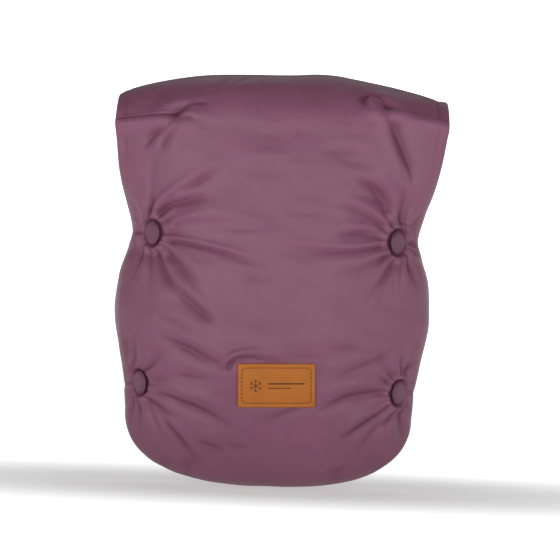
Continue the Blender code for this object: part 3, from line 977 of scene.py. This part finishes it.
    def dart(self, x: np.ndarray, way: np.ndarray, line: tuple) -> np.ndarray:
        """Sewn dart: a sharp groove, a dimple at its point and a flat band above it.

        Args:
            x, way: flat place on the cloth.
            line: its outer and inner ends.

        Returns:
            Outward displacement in metres.
        """
        (x0, w0), (x1, w1) = line
        inward = (x - x0) / (x1 - x0)
        sewn = w0 + (w1 - w0) * np.clip(inward, 0, 1)
        above = way - sewn
        on_dart = smooth(inward, -0.3, 0.0) * (1 - smooth(inward, 0.92, 1.05))
        near_side = 1 - smooth(inward, 0.80, 1.7)
        groove = -0.0030 * np.exp(-np.abs(above / 0.0016) ** 1.3) * on_dart
        below = 0.0034 * np.exp(-((above + 0.010) / 0.010) ** 2) * near_side
        band = -0.0020 * smooth(above, -0.001, 0.005) * (1 - smooth(above, 0.020, 0.060)) * near_side
        tip = np.hypot(x - x1, way - w1)
        return groove + below + band - 0.0036 * bell(tip, 0.0060) + 0.0022 * bell(tip - 0.016, 0.009)

    def relief(self, way: np.ndarray, u: np.ndarray, points: np.ndarray) -> np.ndarray:
        """Outward displacement of the whole front, in metres."""
        x = points[..., 0]
        radii = [self.radius(way, u, i) for i in range(len(self.tufts))]
        lift = sum(self.tuft(x, way, radius, i) for i, radius in enumerate(radii))
        clear = smooth(np.minimum.reduce(radii), 0.0135, 0.024)
        folds = self.dart(x, way, self.dart_left) + self.dart(x, way, self.dart_right)
        for crease in self.creases():
            folds = folds + crease.height(x, way)
        wander = unevenness(x, way, ((0.0026, (0.070, 0.055), 3), (0.0010, (0.042, 0.020), 5),
                                     (0.00034, (0.020, 0.009), 7)))
        lift = lift + (folds + wander) * clear
        under_label = (1 - smooth(np.abs(x - 0.008), 0.036, 0.047)) * (
            1 - smooth(np.abs(way - 0.107), 0.018, 0.029))
        lift = lift * (1 - 0.97 * under_label) - 0.0010 * under_label
        lift = lift + 0.0034 * bell(way - 0.152, 0.016) * bell(x - 0.008, 0.055)
        side = (1 - np.abs(u)) * 0.17
        hem = -0.0006 * bell(side - 0.009, 0.0015) * smooth(way, 0.30, 0.34)
        seam_end = -0.0030 * bell(way - CREST_SEAM, 0.0045)
        puckers = 0.0016 * soft_noise(x, way, (0.013, 0.040), 9) * bell(way - 0.010, 0.022)
        lift = lift + puckers
        fade = 1 - 0.75 * smooth(np.abs(u), 0.955, 1.0)
        bottom = smooth(way, 0.0, 0.012)
        return lift * fade * (0.25 + 0.75 * bottom) + hem + seam_end

    def radius(self, way: np.ndarray, u: np.ndarray, index: int) -> np.ndarray:
        """Distance of the unpulled cloth from one button's middle."""
        return np.linalg.norm(self.shape.front(way, u) - self.tufts[index], axis=-1)


@dataclass
class FrontPanel:
    """The front quilt and its plush lining."""

    shape: MuffShape
    palette: Palette
    tufts: list
    wadding: float = 0.020

    def pull(self, points: np.ndarray) -> np.ndarray:
        """Share, 0 to 1, of the full tufting depth near the buttons."""
        drawn = np.zeros(points.shape[:-1])
        for centre in self.tufts:
            distance = np.linalg.norm(points - centre, axis=-1)
            drawn = np.maximum(drawn, np.exp(-(distance / TUFT_REACH) ** 4))
        return drawn

    def depth(self, way: np.ndarray, u: np.ndarray) -> np.ndarray:
        """Wadding depth over the panel."""
        fade = rise(way - 0.002, 0.050) * rise(self.shape.fold_way - way, 0.040)
        return self.wadding * fade * np.sqrt(1 - np.abs(u) ** 4)

    def build(self) -> None:
        """Make both pieces and attach them to the muff's body."""
        cloth = FrontCloth(self.shape, self.tufts)
        rows = fine_rows([0.0, 0.0004, 0.0010, 0.0018, 0.0028, 0.0040, 0.0055], CREST_SEAM,
                         0.0024, 0.0013, [(0.078, 0.128), (0.236, 0.286), (0.372, 0.408)])
        quilt = Quilt(self.shape.front, rows, even_columns(0.0150, 0.0078), self.depth, cloth.relief,
                      pull=self.pull, warp=self.shape.warp)
        pad = quilt.pad("front_quilt", self.palette.satin, 0.0008)
        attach(pad, "muff")
        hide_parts("front_shell", "front_wadding")
        lining = quilt.sheet("front_plush", self.palette.plush, 21)
        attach(lining, "muff")
        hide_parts("front_lining")
        LOG.info("front panel: %d faces", len(pad.data.polygons))


@dataclass
class BackPanel:
    """The back quilt, sewn to the front along the bottom, and its lining."""

    shape: MuffShape
    palette: Palette
    wadding: float = 0.017
    top: float = 0.300

    def depth(self, way: np.ndarray, u: np.ndarray) -> np.ndarray:
        """Wadding depth over the panel, none in the studs' hem."""
        fade = rise(way - 0.002, 0.050) * rise(0.250 - way, 0.035)
        return self.wadding * fade * np.sqrt(1 - np.abs(u) ** 4)

    def relief(self, way: np.ndarray, u: np.ndarray, points: np.ndarray) -> np.ndarray:
        """Puffs and soft folds of the back's outer cloth, in metres."""
        x = points[..., 0]
        free = 1 - smooth(way, 0.235, 0.252)
        lift = unevenness(x, way, ((0.0026, (0.075, 0.060), 61), (0.0012, (0.030, 0.024), 62),
                                   (0.0004, (0.012, 0.010), 63)))
        for crease in self.creases():
            lift = lift + crease.height(x, way)
        gathers = 0.0009 * np.sin(x * 330 + 2.2 * soft_noise(x, way, (0.06, 0.2), 64))
        lift = lift + gathers * bell(way - 0.242, 0.014)
        hem = -0.0006 * bell(way - 0.292, 0.0016)
        fade = 1 - 0.8 * smooth(np.abs(u), 0.95, 1.0)
        return lift * free * fade * (0.2 + 0.8 * smooth(way, 0.0, 0.012)) + hem

    def creases(self) -> list[Crease]:
        """Return the folds drawn in from the lower corners and the hem."""
        start, mid = Side.START, Side.MIDDLE
        found = []
        for s in (-1, 1):
            found += [
fold(36, 42, start, -s, s * 1480, 1040, s * 1180, 960, s * 800, 880),
                fold(30, 42, start, s, s * 1480, 1100, s * 1200, 1240, s * 900, 1400),
                fold(28, 36, start, -s, s * 1440, 950, s * 1180, 660, s * 1000, 400),
                fold(32, 44, start, -s, s * 1440, 2360, s * 1120, 2220, s * 820, 2050),
                fold(18, 46, mid, -s, s * 600, 600, s * 300, 480, s * 40, 440),
            ]
        return found

    def build(self) -> None:
        """Make both pieces and attach them to the muff's body."""
        rows = fine_rows([0.0, 0.0005, 0.0013, 0.0025, 0.0042, 0.0064], self.top, 0.0030, 0.0016,
                         [(0.225, self.top)])
        quilt = Quilt(self.shape.back, rows, even_columns(0.0175, 0.0120), self.depth, self.relief,
                      sign=-1)
        pad = quilt.pad("back_quilt", self.palette.satin, 0.0008)
        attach(pad, "muff")
        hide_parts("back_shell", "back_wadding")
        lining = quilt.sheet("back_plush", self.palette.plush, 31)
        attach(lining, "muff")
        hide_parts("back_lining")
        LOG.info("back panel: %d faces", len(pad.data.polygons))


@dataclass
class FlapPanel:
    """The back flap, whose cloth bends along the fold, and its lining."""

    shape: MuffShape
    palette: Palette
    wadding: float = 0.012

    def depth(self, way: np.ndarray, u: np.ndarray) -> np.ndarray:
        """Wadding depth: the front's up to the fold, then the flap's down to the hem."""
        down = way - self.shape.fold_way
        crest = 0.020 * rise(-down, 0.040)
        hanging = self.wadding * rise(down, 0.025) * rise(0.092 - down, 0.020)
        return np.where(down < 0, crest, hanging) * np.sqrt(1 - np.abs(u) ** 4)

    def relief(self, way: np.ndarray, u: np.ndarray, points: np.ndarray) -> np.ndarray:
        """Puffs, the fold's dip and the hem's gathers, in metres."""
        x = points[..., 0]
        down = way - self.shape.fold_way
        lift = unevenness(x, way, ((0.0018, (0.060, 0.045), 71), (0.0009, (0.026, 0.020), 72),
                                   (0.0003, (0.011, 0.009), 73)))
        gathers = 0.0010 * np.sin(x * 290 + 2.5 * soft_noise(x, way, (0.05, 0.2), 74))
        lift = lift + gathers * bell(down - 0.090, 0.016)
        fold = -0.0016 * bell(down, 0.0045)
        seam_end = -0.0030 * bell(way - CREST_SEAM, 0.0045)
        hem_line = -0.0005 * bell(down - 0.122, 0.0014)
        flat = 1 - smooth(down, 0.094, 0.106)
        fade = 1 - 0.8 * smooth(np.abs(u), 0.955, 1.0)
        return lift * flat * fade + fold + seam_end + hem_line

    def build(self) -> None:
        """Make both pieces, their cloth running over the crest and down past the fold."""
        end = self.shape.fold_way + self.shape.flap_length
        rows = fine_rows([CREST_SEAM + 0.0004], end, 0.0026, 0.0016,
                         [(self.shape.fold_way - 0.012, self.shape.fold_way + 0.012), (end - 0.050, end)])
        quilt = Quilt(self.shape.flap, rows, even_columns(0.0175, 0.0120), self.depth, self.relief,
                      warp=self.shape.warp)
        for piece, nodes, slot in (
                (quilt.pad("flap_quilt", self.palette.satin, 0.0008),
                 ("flap_shell", "flap_wadding"), "outer_fabric"),
                (quilt.sheet("flap_plush", self.palette.plush, 41), ("flap_lining",), "lining_plush")):
            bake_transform(piece)
            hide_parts(*nodes)
            LOG.info("%s: %d faces", piece.name, len(piece.data.polygons))


# ---------------------------------------------------------------- fastenings


def turned(name: str, profile: list[tuple[float, float]], place: Matrix,
           material: bpy.types.Material, sides: int = 48) -> bpy.types.Object:
    """A solid of revolution with its place in its mesh.

    Args:
        name: the piece's name.
        profile: (radius, z) points from the axis round to the axis.
        place: where its own Z axis lies.
        material: its finish.
        sides: steps round it.

    Returns:
        The piece, with a bevelled, smooth mesh.
    """
    bm = bmesh.new()
    rings = []
    for radius, z in profile:
        if radius == 0:
            rings.append([bm.verts.new((0, 0, z))])
        else:
            rings.append([bm.verts.new((radius * math.cos(a), radius * math.sin(a), z))
                          for a in np.linspace(0, 2 * math.pi, sides, endpoint=False)])
    for a, b in zip(rings, rings[1:]):
        for k in range(sides):
            n = (k + 1) % sides
            loop = [a[k % len(a)], a[n % len(a)], b[n % len(b)], b[k % len(b)]]
            bm.faces.new(list(dict.fromkeys(loop)))
    bmesh.ops.recalc_face_normals(bm, faces=bm.faces)
    bmesh.ops.transform(bm, matrix=place, verts=bm.verts)
    mesh = bpy.data.meshes.new(name)
    bm.to_mesh(mesh)
    bm.free()
    mesh.shade_smooth()
    return link(name, mesh, material)


@dataclass
class TuftButton:
    """A cloth-covered button, its back plate, thread and anchor."""

    name: str
    shape: MuffShape
    palette: Palette
    radius: float = 0.0125
    height: float = 0.0072
    lift: float = 0.0024
    sunk: float = 0.008
    shown_height: float = 0.0046
    shown_lift: float = 0.0021
    turned_out: float = 0.52

    def surface_place(self) -> tuple[np.ndarray, Matrix]:
        """Find the cloth's point under the button and the button's own placement."""
        low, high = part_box("button_cover_" + self.name)
        centre = (np.array(low) + np.array(high)) / 2
        way = centre[2] - self.shape.floor
        guess = centre.copy()
        for _ in range(12):
            u = np.array([guess[0] / float(self.shape.width(np.array(way)))])
            point = self.shape.front(np.array([way]), u)[0]
            normal = outward(self.shape.front, np.array([way]), u, 1)[0]
            target = centre + normal * (self.sunk - self.lift - self.height / 2)
            guess[0] += target[0] - point[0]
            way += target[2] - point[2]
        shown = Vector(normal) + Vector((math.copysign(self.turned_out, point[0]), 0, 0))
        turn = shown.to_track_quat("Z", "Y").to_matrix().to_4x4()
        return point, Matrix.Translation(Vector(point - normal * self.sunk)) @ turn

    def build(self) -> None:
        """Make the cover and dress the pieces under it."""
        _, place = self.surface_place()
        r, low, top = self.radius, self.shown_lift, self.shown_height
        dome = [(r * max(0.0, math.cos(a)) ** 0.56, low + top * (0.42 + 0.58 * math.sin(a)))
                for a in np.linspace(0, math.pi / 2, 14)]
        edge = [(r * 0.992, low + top * 0.26), (r * 0.95, low + top * 0.10), (r * 0.90, low),
                (r * 0.78, low), (r * 0.77, low + 0.0024), (0.0, low + 0.0024)]
        profile = list(reversed(dome)) + edge
        profile[0] = (0.0, profile[0][1])
        cover = turned("covered_" + self.name, profile, place, self.palette.button_satin)
        self.cloth_uv(cover)
        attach(cover, "muff")
        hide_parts("button_cover_" + self.name)
        backing = [(0.0, low + 0.0017), (0.0090, low + 0.0017), (0.0090, low + 0.0006),
                   (0.0016, low + 0.0006), (0.0016, low - 0.0006), (0.0, low - 0.0006)]
        plate = turned("backing_" + self.name, backing, place, self.palette.metal)
        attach(plate, "muff")
        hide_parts("button_plate_" + self.name)
        dress("tuft_thread_" + self.name, self.palette.thread)
        dress("anchor_button_" + self.name, self.palette.plastic)

    @staticmethod
    def cloth_uv(piece: bpy.types.Object) -> None:
        """Give a button's cloth flat coordinates seen along its axis."""
        mesh = piece.data
        uv = mesh.uv_layers.new(name="cloth")
        for loop in mesh.loops:
            point = mesh.vertices[loop.vertex_index].co
            uv.data[loop.index].uv = (point.x, point.z)


def dress(node: str, material: bpy.types.Material) -> None:
    """Give a carried-over CAD piece its finish."""
    item = bpy.data.objects[node]
    if not item.material_slots:
        item.data.materials.append(material)
    for slot in item.material_slots:
        slot.material = material


@dataclass
class PressStud:
    """One press stud: the visible cap, and the halves that grip."""

    number: int
    palette: Palette

    def build(self) -> None:
        """Make a finely turned cap and dress the other three pieces."""
        node = f"snap_cap_{self.number}"
        points = np.array([v.co for v in bpy.data.objects[node].data.vertices])
        rim = points[np.linalg.norm(points - points.mean(0), axis=1) > 0.0045]
        middle = Vector(rim.mean(0))
        axis = Vector(np.linalg.svd(rim - rim.mean(0))[2][2])
        if axis.y < 0:
            axis = -axis
        place = Matrix.Translation(middle) @ axis.to_track_quat("Z", "Y").to_matrix().to_4x4()
        profile = [(0.0, 0.0010), (0.0016, 0.00098), (0.0026, 0.0009), (0.0030, 0.0012), (0.0036, 0.0014),
                   (0.0048, 0.0011), (0.0057, 0.0005), (0.0060, 0.0), (0.0059, -0.0004),
                   (0.0054, -0.0005), (0.0016, -0.0005), (0.0016, -0.0052), (0.0, -0.0052)]
        cap = turned(f"stud_cap_{self.number}", profile, place, self.palette.metal, 40)
        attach(cap, "back_flap")
        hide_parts(node)
        for part in ("socket", "stud", "post"):
            dress(f"snap_{part}_{self.number}", self.palette.metal)
        LOG.info("press stud %d at %s", self.number, [round(c, 4) for c in middle])


# ---------------------------------------------------------------- label and stitches


def stitch_tree(material: bpy.types.Material) -> bpy.types.NodeTree:
    """Node tree that sews stitches along a curve.

    Args:
        material: the thread's finish.

    Returns:
        A tree with the inputs Pitch, Length and Radius.
    """
    tree = bpy.data.node_groups.new("stitches_" + material.name, "GeometryNodeTree")
    face = tree.interface
    face.new_socket("Geometry", in_out="INPUT", socket_type="NodeSocketGeometry")
    for name, value in (("Pitch", 0.0044), ("Length", 0.0030), ("Radius", 0.00035)):
        socket = face.new_socket(name, in_out="INPUT", socket_type="NodeSocketFloat")
        socket.default_value = value
    face.new_socket("Geometry", in_out="OUTPUT", socket_type="NodeSocketGeometry")

    def add(kind: str, **values: object) -> bpy.types.Node:
        """Add one geometry node with its properties."""
        node = tree.nodes.new(kind)
        for key, value in values.items():
            setattr(node, key, value)
        return node

    start, end = add("NodeGroupInput"), add("NodeGroupOutput")
    resample = add("GeometryNodeResampleCurve", mode="LENGTH")
    tangent = add("GeometryNodeInputTangent")
    normal = add("GeometryNodeInputNormal")
    turn = add("FunctionNodeAlignRotationToVector", axis="X")
    tilt = add("FunctionNodeAlignRotationToVector", axis="Z", pivot_axis="X")
    bead = add("GeometryNodeMeshUVSphere")
    bead.inputs["Segments"].default_value = 8
    bead.inputs["Rings"].default_value = 6
    bead.inputs["Radius"].default_value = 0.5
    size = add("ShaderNodeCombineXYZ")
    points = add("GeometryNodeInstanceOnPoints")
    real = add("GeometryNodeRealizeInstances")
    paint = add("GeometryNodeSetMaterial")
    paint.inputs["Material"].default_value = material
    thick = add("ShaderNodeMath", operation="MULTIPLY")
    thick.inputs[1].default_value = 2.0
    for source, output, target, entry in (
            (start, "Geometry", resample, "Curve"), (start, "Pitch", resample, "Length"),
            (start, "Length", size, "X"), (start, "Radius", thick, 0), (thick, 0, size, "Y"),
            (thick, 0, size, "Z"), (tangent, "Tangent", turn, "Vector"),
            (turn, "Rotation", tilt, "Rotation"), (normal, "Normal", tilt, "Vector"),
            (resample, "Curve", points, "Points"), (bead, "Mesh", points, "Instance"),
            (tilt, "Rotation", points, "Rotation"), (size, "Vector", points, "Scale"),
            (points, "Instances", real, "Geometry"), (real, "Geometry", paint, "Geometry"),
            (paint, "Geometry", end, "Geometry")):
        tree.links.new(source.outputs[output], target.inputs[entry])
    return tree


@dataclass
class Stitching:
    """Runs of stitches in one thread."""

    material: bpy.types.Material

    def __post_init__(self) -> None:
        """Build the tree once."""
        self.tree = stitch_tree(self.material)

    def sew(self, name: str, runs: list[np.ndarray], pitch: float, length: float,
            radius: float) -> bpy.types.Object:
        """Sew stitches along runs of points and bake them to a plain mesh.

        Args:
            name: the piece's name.
            runs: polylines on the cloth's surface.
            pitch: metres from one stitch to the next.
            length: metres of one stitch.
            radius: the thread's radius.

        Returns:
            The piece, with its modifier removed.
        """
        data = bpy.data.curves.new(name + "_path", "CURVE")
        data.dimensions = "3D"
        for run in runs:
            spline = data.splines.new("POLY")
            spline.points.add(len(run) - 1)
            spline.points.foreach_set("co", np.c_[run, np.ones(len(run))].astype(np.float32).ravel())
        guide = bpy.data.objects.new(name + "_path", data)
        bpy.context.scene.collection.objects.link(guide)
        modifier = guide.modifiers.new("stitches", "NODES")
        modifier.node_group = self.tree
        for socket in self.tree.interface.items_tree:
            value = {"Pitch": pitch, "Length": length, "Radius": radius}.get(socket.name)
            if value is not None:
                modifier[socket.identifier] = value
        shown = guide.evaluated_get(bpy.context.evaluated_depsgraph_get())
        mesh = bpy.data.meshes.new_from_object(shown)
        mesh.name = name
        bpy.data.objects.remove(guide)
        mesh.shade_smooth()
        return link(name, mesh, self.material)


@dataclass
class Label:
    """Tan label, its sewn border and its pressed motif: a snow crystal and two plain bars."""

    shape: MuffShape
    palette: Palette
    centre: tuple = (0.0075, 0.1070)
    size: tuple = (0.080, 0.045)
    thick: float = 0.0016
    turn: float = math.radians(2.3)
    corner: float = 0.0022
    lift: float = 0.0004

    def on_surface(self, across: np.ndarray, up: np.ndarray, lift: float) -> np.ndarray:
        """Points above the front's face at label coordinates.

        Args:
            across, up: metres from the label's middle.
            lift: metres above the cloth.

        Returns:
            Points in the frame.
        """
        c, s = math.cos(self.turn), math.sin(self.turn)
        x = self.centre[0] + across * c - up * s
        way = self.centre[1] + across * s + up * c
        u = x / self.shape.width(way)
        return self.shape.front(way, u) + outward(self.shape.front, way, u, 1) * lift

    def rounded(self, t: np.ndarray, half: tuple) -> tuple[np.ndarray, np.ndarray]:
        """Outline of the rounded rectangle at shares of a turn."""
        angle = 2 * math.pi * t
        power = 0.16
        x = half[0] * np.sign(np.cos(angle)) * np.abs(np.cos(angle)) ** power
        y = half[1] * np.sign(np.sin(angle)) * np.abs(np.sin(angle)) ** power
        return x, y

    def plate(self) -> bpy.types.Object:
        """Make the label's plate with soft, slightly raised edges."""
        columns, rows = 84, 48
        a, b = np.meshgrid(np.linspace(-1, 1, columns), np.linspace(-1, 1, rows))
        across, up = a * self.size[0] / 2, b * self.size[1] / 2
        off_x = np.maximum(np.abs(across) - (self.size[0] / 2 - self.corner), 0)
        off_y = np.maximum(np.abs(up) - (self.size[1] / 2 - self.corner), 0)
        far = np.maximum(np.hypot(off_x, off_y), 1e-9)
        pull = np.where(far > self.corner, self.corner / far, 1.0)
        across = np.sign(across) * (np.abs(across) - off_x * (1 - pull))
        up = np.sign(up) * (np.abs(up) - off_y * (1 - pull))
        inset = np.minimum(self.size[0] / 2 - np.abs(across), self.size[1] / 2 - np.abs(up))
        top = self.lift + self.thick * (0.72 + 0.28 * smooth(inset, 0.0, 0.0012))
        top = top - 0.00030 * bell(inset - 0.0042, 0.0009)
        outer = self.on_surface(across, up, 0.0) + (
            self.on_surface(across, up, 1.0) - self.on_surface(across, up, 0.0)) * top[..., None]
        inner = self.on_surface(across, up, -0.0006)
        cloth = np.stack([across, up], -1)
        return closed_pad("label_plate", outer, inner, cloth, self.palette.leather, 0.0001)

    def strokes(self) -> list[tuple[np.ndarray, np.ndarray, float]]:
        """Straight strokes of the motif: start, end and half width, in label metres."""
        middle = np.array([-0.0215, 0.0])
        found = []
        for k in range(6):
            angle = math.pi * k / 3 + math.pi / 2
            way = np.array([math.cos(angle), math.sin(angle)])
            left = np.array([-way[1], way[0]])
            tip = middle + way * 0.0068
            found.append((middle, tip, 0.00042))
            fork = middle + way * 0.0040
            for s in (-1, 1):
                found.append((fork, fork + way * 0.0019 + s * left * 0.0019, 0.00034))
        found.append((np.array([-0.0085, 0.0020]), np.array([0.0290, 0.0020]), 0.00085))
        found.append((np.array([-0.0085, -0.0026]), np.array([0.0150, -0.0026]), 0.00055))
        return found

    def motif(self) -> bpy.types.Object:
        """Make the motif as thin pressed strokes that follow the label's face."""
        verts, faces = [], []
        for start, end, half in self.strokes():
            count = max(3, int(np.linalg.norm(end - start) / 0.0015))
            way = (end - start) / np.linalg.norm(end - start)
            left = np.array([-way[1], way[0]])
            line = start + (end - start) * np.linspace(0, 1, count)[:, None]
            top = self.lift + self.thick
            base = len(verts)
            for share, lift in ((-1.0, top - 0.0003), (-0.7, top + 0.00016), (0.7, top + 0.00016),
                                (1.0, top - 0.0003)):
                flat = line + left * half * share
                verts += self.on_surface(flat[:, 0], flat[:, 1], lift).tolist()
            for side in range(4):
                a, b = base + side * count, base + ((side + 1) % 4) * count
                faces += [(a + i, a + i + 1, b + i + 1, b + i) for i in range(count - 1)]
            faces.append(tuple(base + side * count for side in range(4)))
            faces.append(tuple(base + side * count + count - 1 for side in (3, 2, 1, 0)))
        mesh = bpy.data.meshes.new("label_motif")
        mesh.from_pydata(verts, [], faces)
        face_outwards(mesh)
        return link("label_motif", mesh, self.palette.motif)

    def build(self) -> None:
        plate = self.plate()
        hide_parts("front_label")
        t = np.linspace(0, 1, 241)
        across, up = self.rounded(t, (self.size[0] / 2 - 0.0042, self.size[1] / 2 - 0.0042))
        border_run = self.on_surface(across, up, self.lift + self.thick + 0.00005)
        sewing = Stitching(self.palette.label_thread)
        stitches = sewing.sew("label_stitches", [border_run], 0.0042, 0.0031, 0.00042)
        motif = self.motif()
        for piece in (plate, stitches, motif):
            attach(piece, "muff")
        LOG.info("label: %d faces", len(plate.data.polygons))


@dataclass
class CareTag:
    """Blank care label on the back lining."""

    palette: Palette

    def build(self) -> None:
        """Dress the CAD label."""
        dress("care_label", self.palette.care)


@dataclass
class Topstitching:
    """Stitched lines on the outer cloth."""

    shape: MuffShape
    palette: Palette

    def build(self) -> None:
        """Sew the crest seam and the flap's hem."""
        sewing = Stitching(self.palette.thread)
        u = np.linspace(-0.985, 0.985, 260)
        seam = np.full_like(u, CREST_SEAM - 0.0045)
        inwards = outward(self.shape.front, seam, u, 1) * 0.0009
        crest = self.shape.warp(self.shape.front(seam, u) - inwards)
        flap_way = np.full_like(u, self.shape.fold_way + 0.122)
        hem = self.shape.flap(flap_way, u) - outward(self.shape.flap, flap_way, u, 1) * 0.00035
        crest_run = sewing.sew("crest_stitches", [crest], 0.0034, 0.0026, 0.00028)
        hem_run = sewing.sew("flap_hem_stitches", [hem], 0.0034, 0.0026, 0.00028)
        for piece, body in ((crest_run, "muff"), (hem_run, "back_flap")):
            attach(piece, body)


# ---------------------------------------------------------------- studio


@dataclass
class Studio:
    """Pale floor, soft lights and the camera."""

    lean: float = math.radians(2.3)
    view_width: float = 0.588
    distance: float = 6.0
    aim: tuple = (0.0068, 0.0, 0.2164)

    def floor(self, level: float) -> None:
        """Lay the pale floor, a wide dish that glows white, fully on its low rim all round; its glow is
        dimmer near the muff, a painted soft shadow.

        Args:
            level: height of the floor.
        """
        bm = bmesh.new()
        profile = [(0.6, 0.0), (1.5, 0.0), (4.0, 0.0), (9.0, 0.0), (9.6, 0.1), (10.0, 0.5), (10.1, 2.2)]
        turns = np.linspace(0, 2 * math.pi, 64, endpoint=False)
        rings = [[bm.verts.new((r * math.cos(a), r * math.sin(a), level + z)) for a in turns]
                 for r, z in profile]
        bm.faces.new(rings[0])
        for a, b in zip(rings, rings[1:]):
            for k in range(len(turns)):
                n = (k + 1) % len(turns)
                bm.faces.new((a[k], b[k], b[n], a[n]))
        mesh = bpy.data.meshes.new("studio_floor")
        bm.to_mesh(mesh)
        bm.free()
        mesh.shade_smooth()
        n = Nodes("pale_floor")
        place = n.add("TexCoord")
        plan = n.add("Mapping")
        plan.inputs["Scale"].default_value = (1.0, 1.0, 0.0)
        away = n.add("VectorMath", operation="LENGTH")
        # painted shadow: the floor's glow is a third as bright near the muff and rises to full white by
        # 0.9 m out
        far = n.add("MapRange", From_Min=0.15, From_Max=0.90, To_Min=0.34, To_Max=1.0,
                    interpolation_type="SMOOTHSTEP")
        n.join(place.outputs["Object"], plan.inputs["Vector"])
        n.join(plan.outputs["Vector"], away.inputs[0])
        n.join(away.outputs["Value"], far.inputs["Value"])
        n.join(far.outputs["Result"], n.shader.inputs["Emission Strength"])
        n.set(Base_Color=(0.80, 0.80, 0.80, 1.0), Roughness=0.9, Specular_IOR_Level=0.1)
        n.shader.inputs["Emission Color"].default_value = (1.0, 1.0, 1.0, 1.0)
        link("studio_floor", mesh, n.material)

    def light(self, name: str, place: tuple, size: tuple, power: float, look: tuple) -> None:
        """Add one soft area light.

        Args:
            name: its name.
            place: where it stands.
            size: its width and height.
            power: watts.
            look: the point that it faces.
        """
        data = bpy.data.lights.new(name, "AREA")
        data.shape = "RECTANGLE"
        data.size, data.size_y = size
        data.energy = power
        lamp = bpy.data.objects.new(name, data)
        lamp.location = place
        lamp.rotation_euler = (Vector(look) - Vector(place)).to_track_quat("-Z", "Y").to_euler()
        bpy.context.scene.collection.objects.link(lamp)

    def camera(self, floor_level: float) -> None:
        """Aim a long lens square at the front, leaning as the muff is shown."""
        data = bpy.data.cameras.new("camera")
        data.sensor_width = 36.0
        data.lens = 36.0 * self.distance / self.view_width
        data.clip_end = 30.0
        item = bpy.data.objects.new("camera", data)
        target = Vector((self.aim[0], 0.0, self.aim[2] + floor_level))
        item.location = target + Vector((0, -self.distance, 0))
        level = Matrix.Rotation(math.pi / 2, 4, "X")
        item.rotation_euler = (level @ Matrix.Rotation(self.lean, 4, "Z")).to_euler()
        bpy.context.scene.collection.objects.link(item)
        bpy.context.scene.camera = item

    def build(self, floor_level: float) -> None:
        """Set the whole stage."""
        scene = bpy.context.scene
        scene.view_settings.view_transform = "Standard"
        world = bpy.data.worlds.new("white_room")
        world.use_nodes = True
        world.node_tree.nodes["Background"].inputs["Color"].default_value = (1.0, 1.0, 1.0, 1.0)
        world.node_tree.nodes["Background"].inputs["Strength"].default_value = 0.08
        scene.world = world
        self.floor(floor_level - 0.0010)
        middle = (0, 0, floor_level + 0.22)
        self.light("left_box", (-1.20, -2.7, floor_level + 0.50), (0.7, 1.0), 22, middle)
        self.light("right_box", (1.20, -2.7, floor_level + 0.45), (0.7, 1.0), 19, middle)
        self.light("front_fill", (0.0, -4.0, floor_level + 0.9), (1.8, 1.2), 14, middle)
        self.light("back_glow", (0.0, 1.7, floor_level + 2.3), (1.8, 1.2), 9, middle)
        self.camera(floor_level)


def main() -> None:
    """Build the muff's looks piece by piece."""
    logging.basicConfig(level=logging.INFO, format="%(message)s")
    low, high = CAD_BOX
    shape = MuffShape(floor=low[2], half_width=(high[0] - low[0]) / 2)
    palette = Palette()
    Studio().build(low[2])
    buttons = [TuftButton(name, shape, palette)
               for name in ("upper_left", "upper_right", "lower_left", "lower_right")]
    tufts = [button.surface_place()[0] for button in buttons]
    FrontPanel(shape, palette, tufts).build()
    BackPanel(shape, palette).build()
    FlapPanel(shape, palette).build()
    for button in buttons:
        button.build()
    for number in range(1, 5):
        PressStud(number, palette).build()
    Label(shape, palette).build()
    CareTag(palette).build()
    Topstitching(shape, palette).build()


if __name__ == "__main__":
    main()
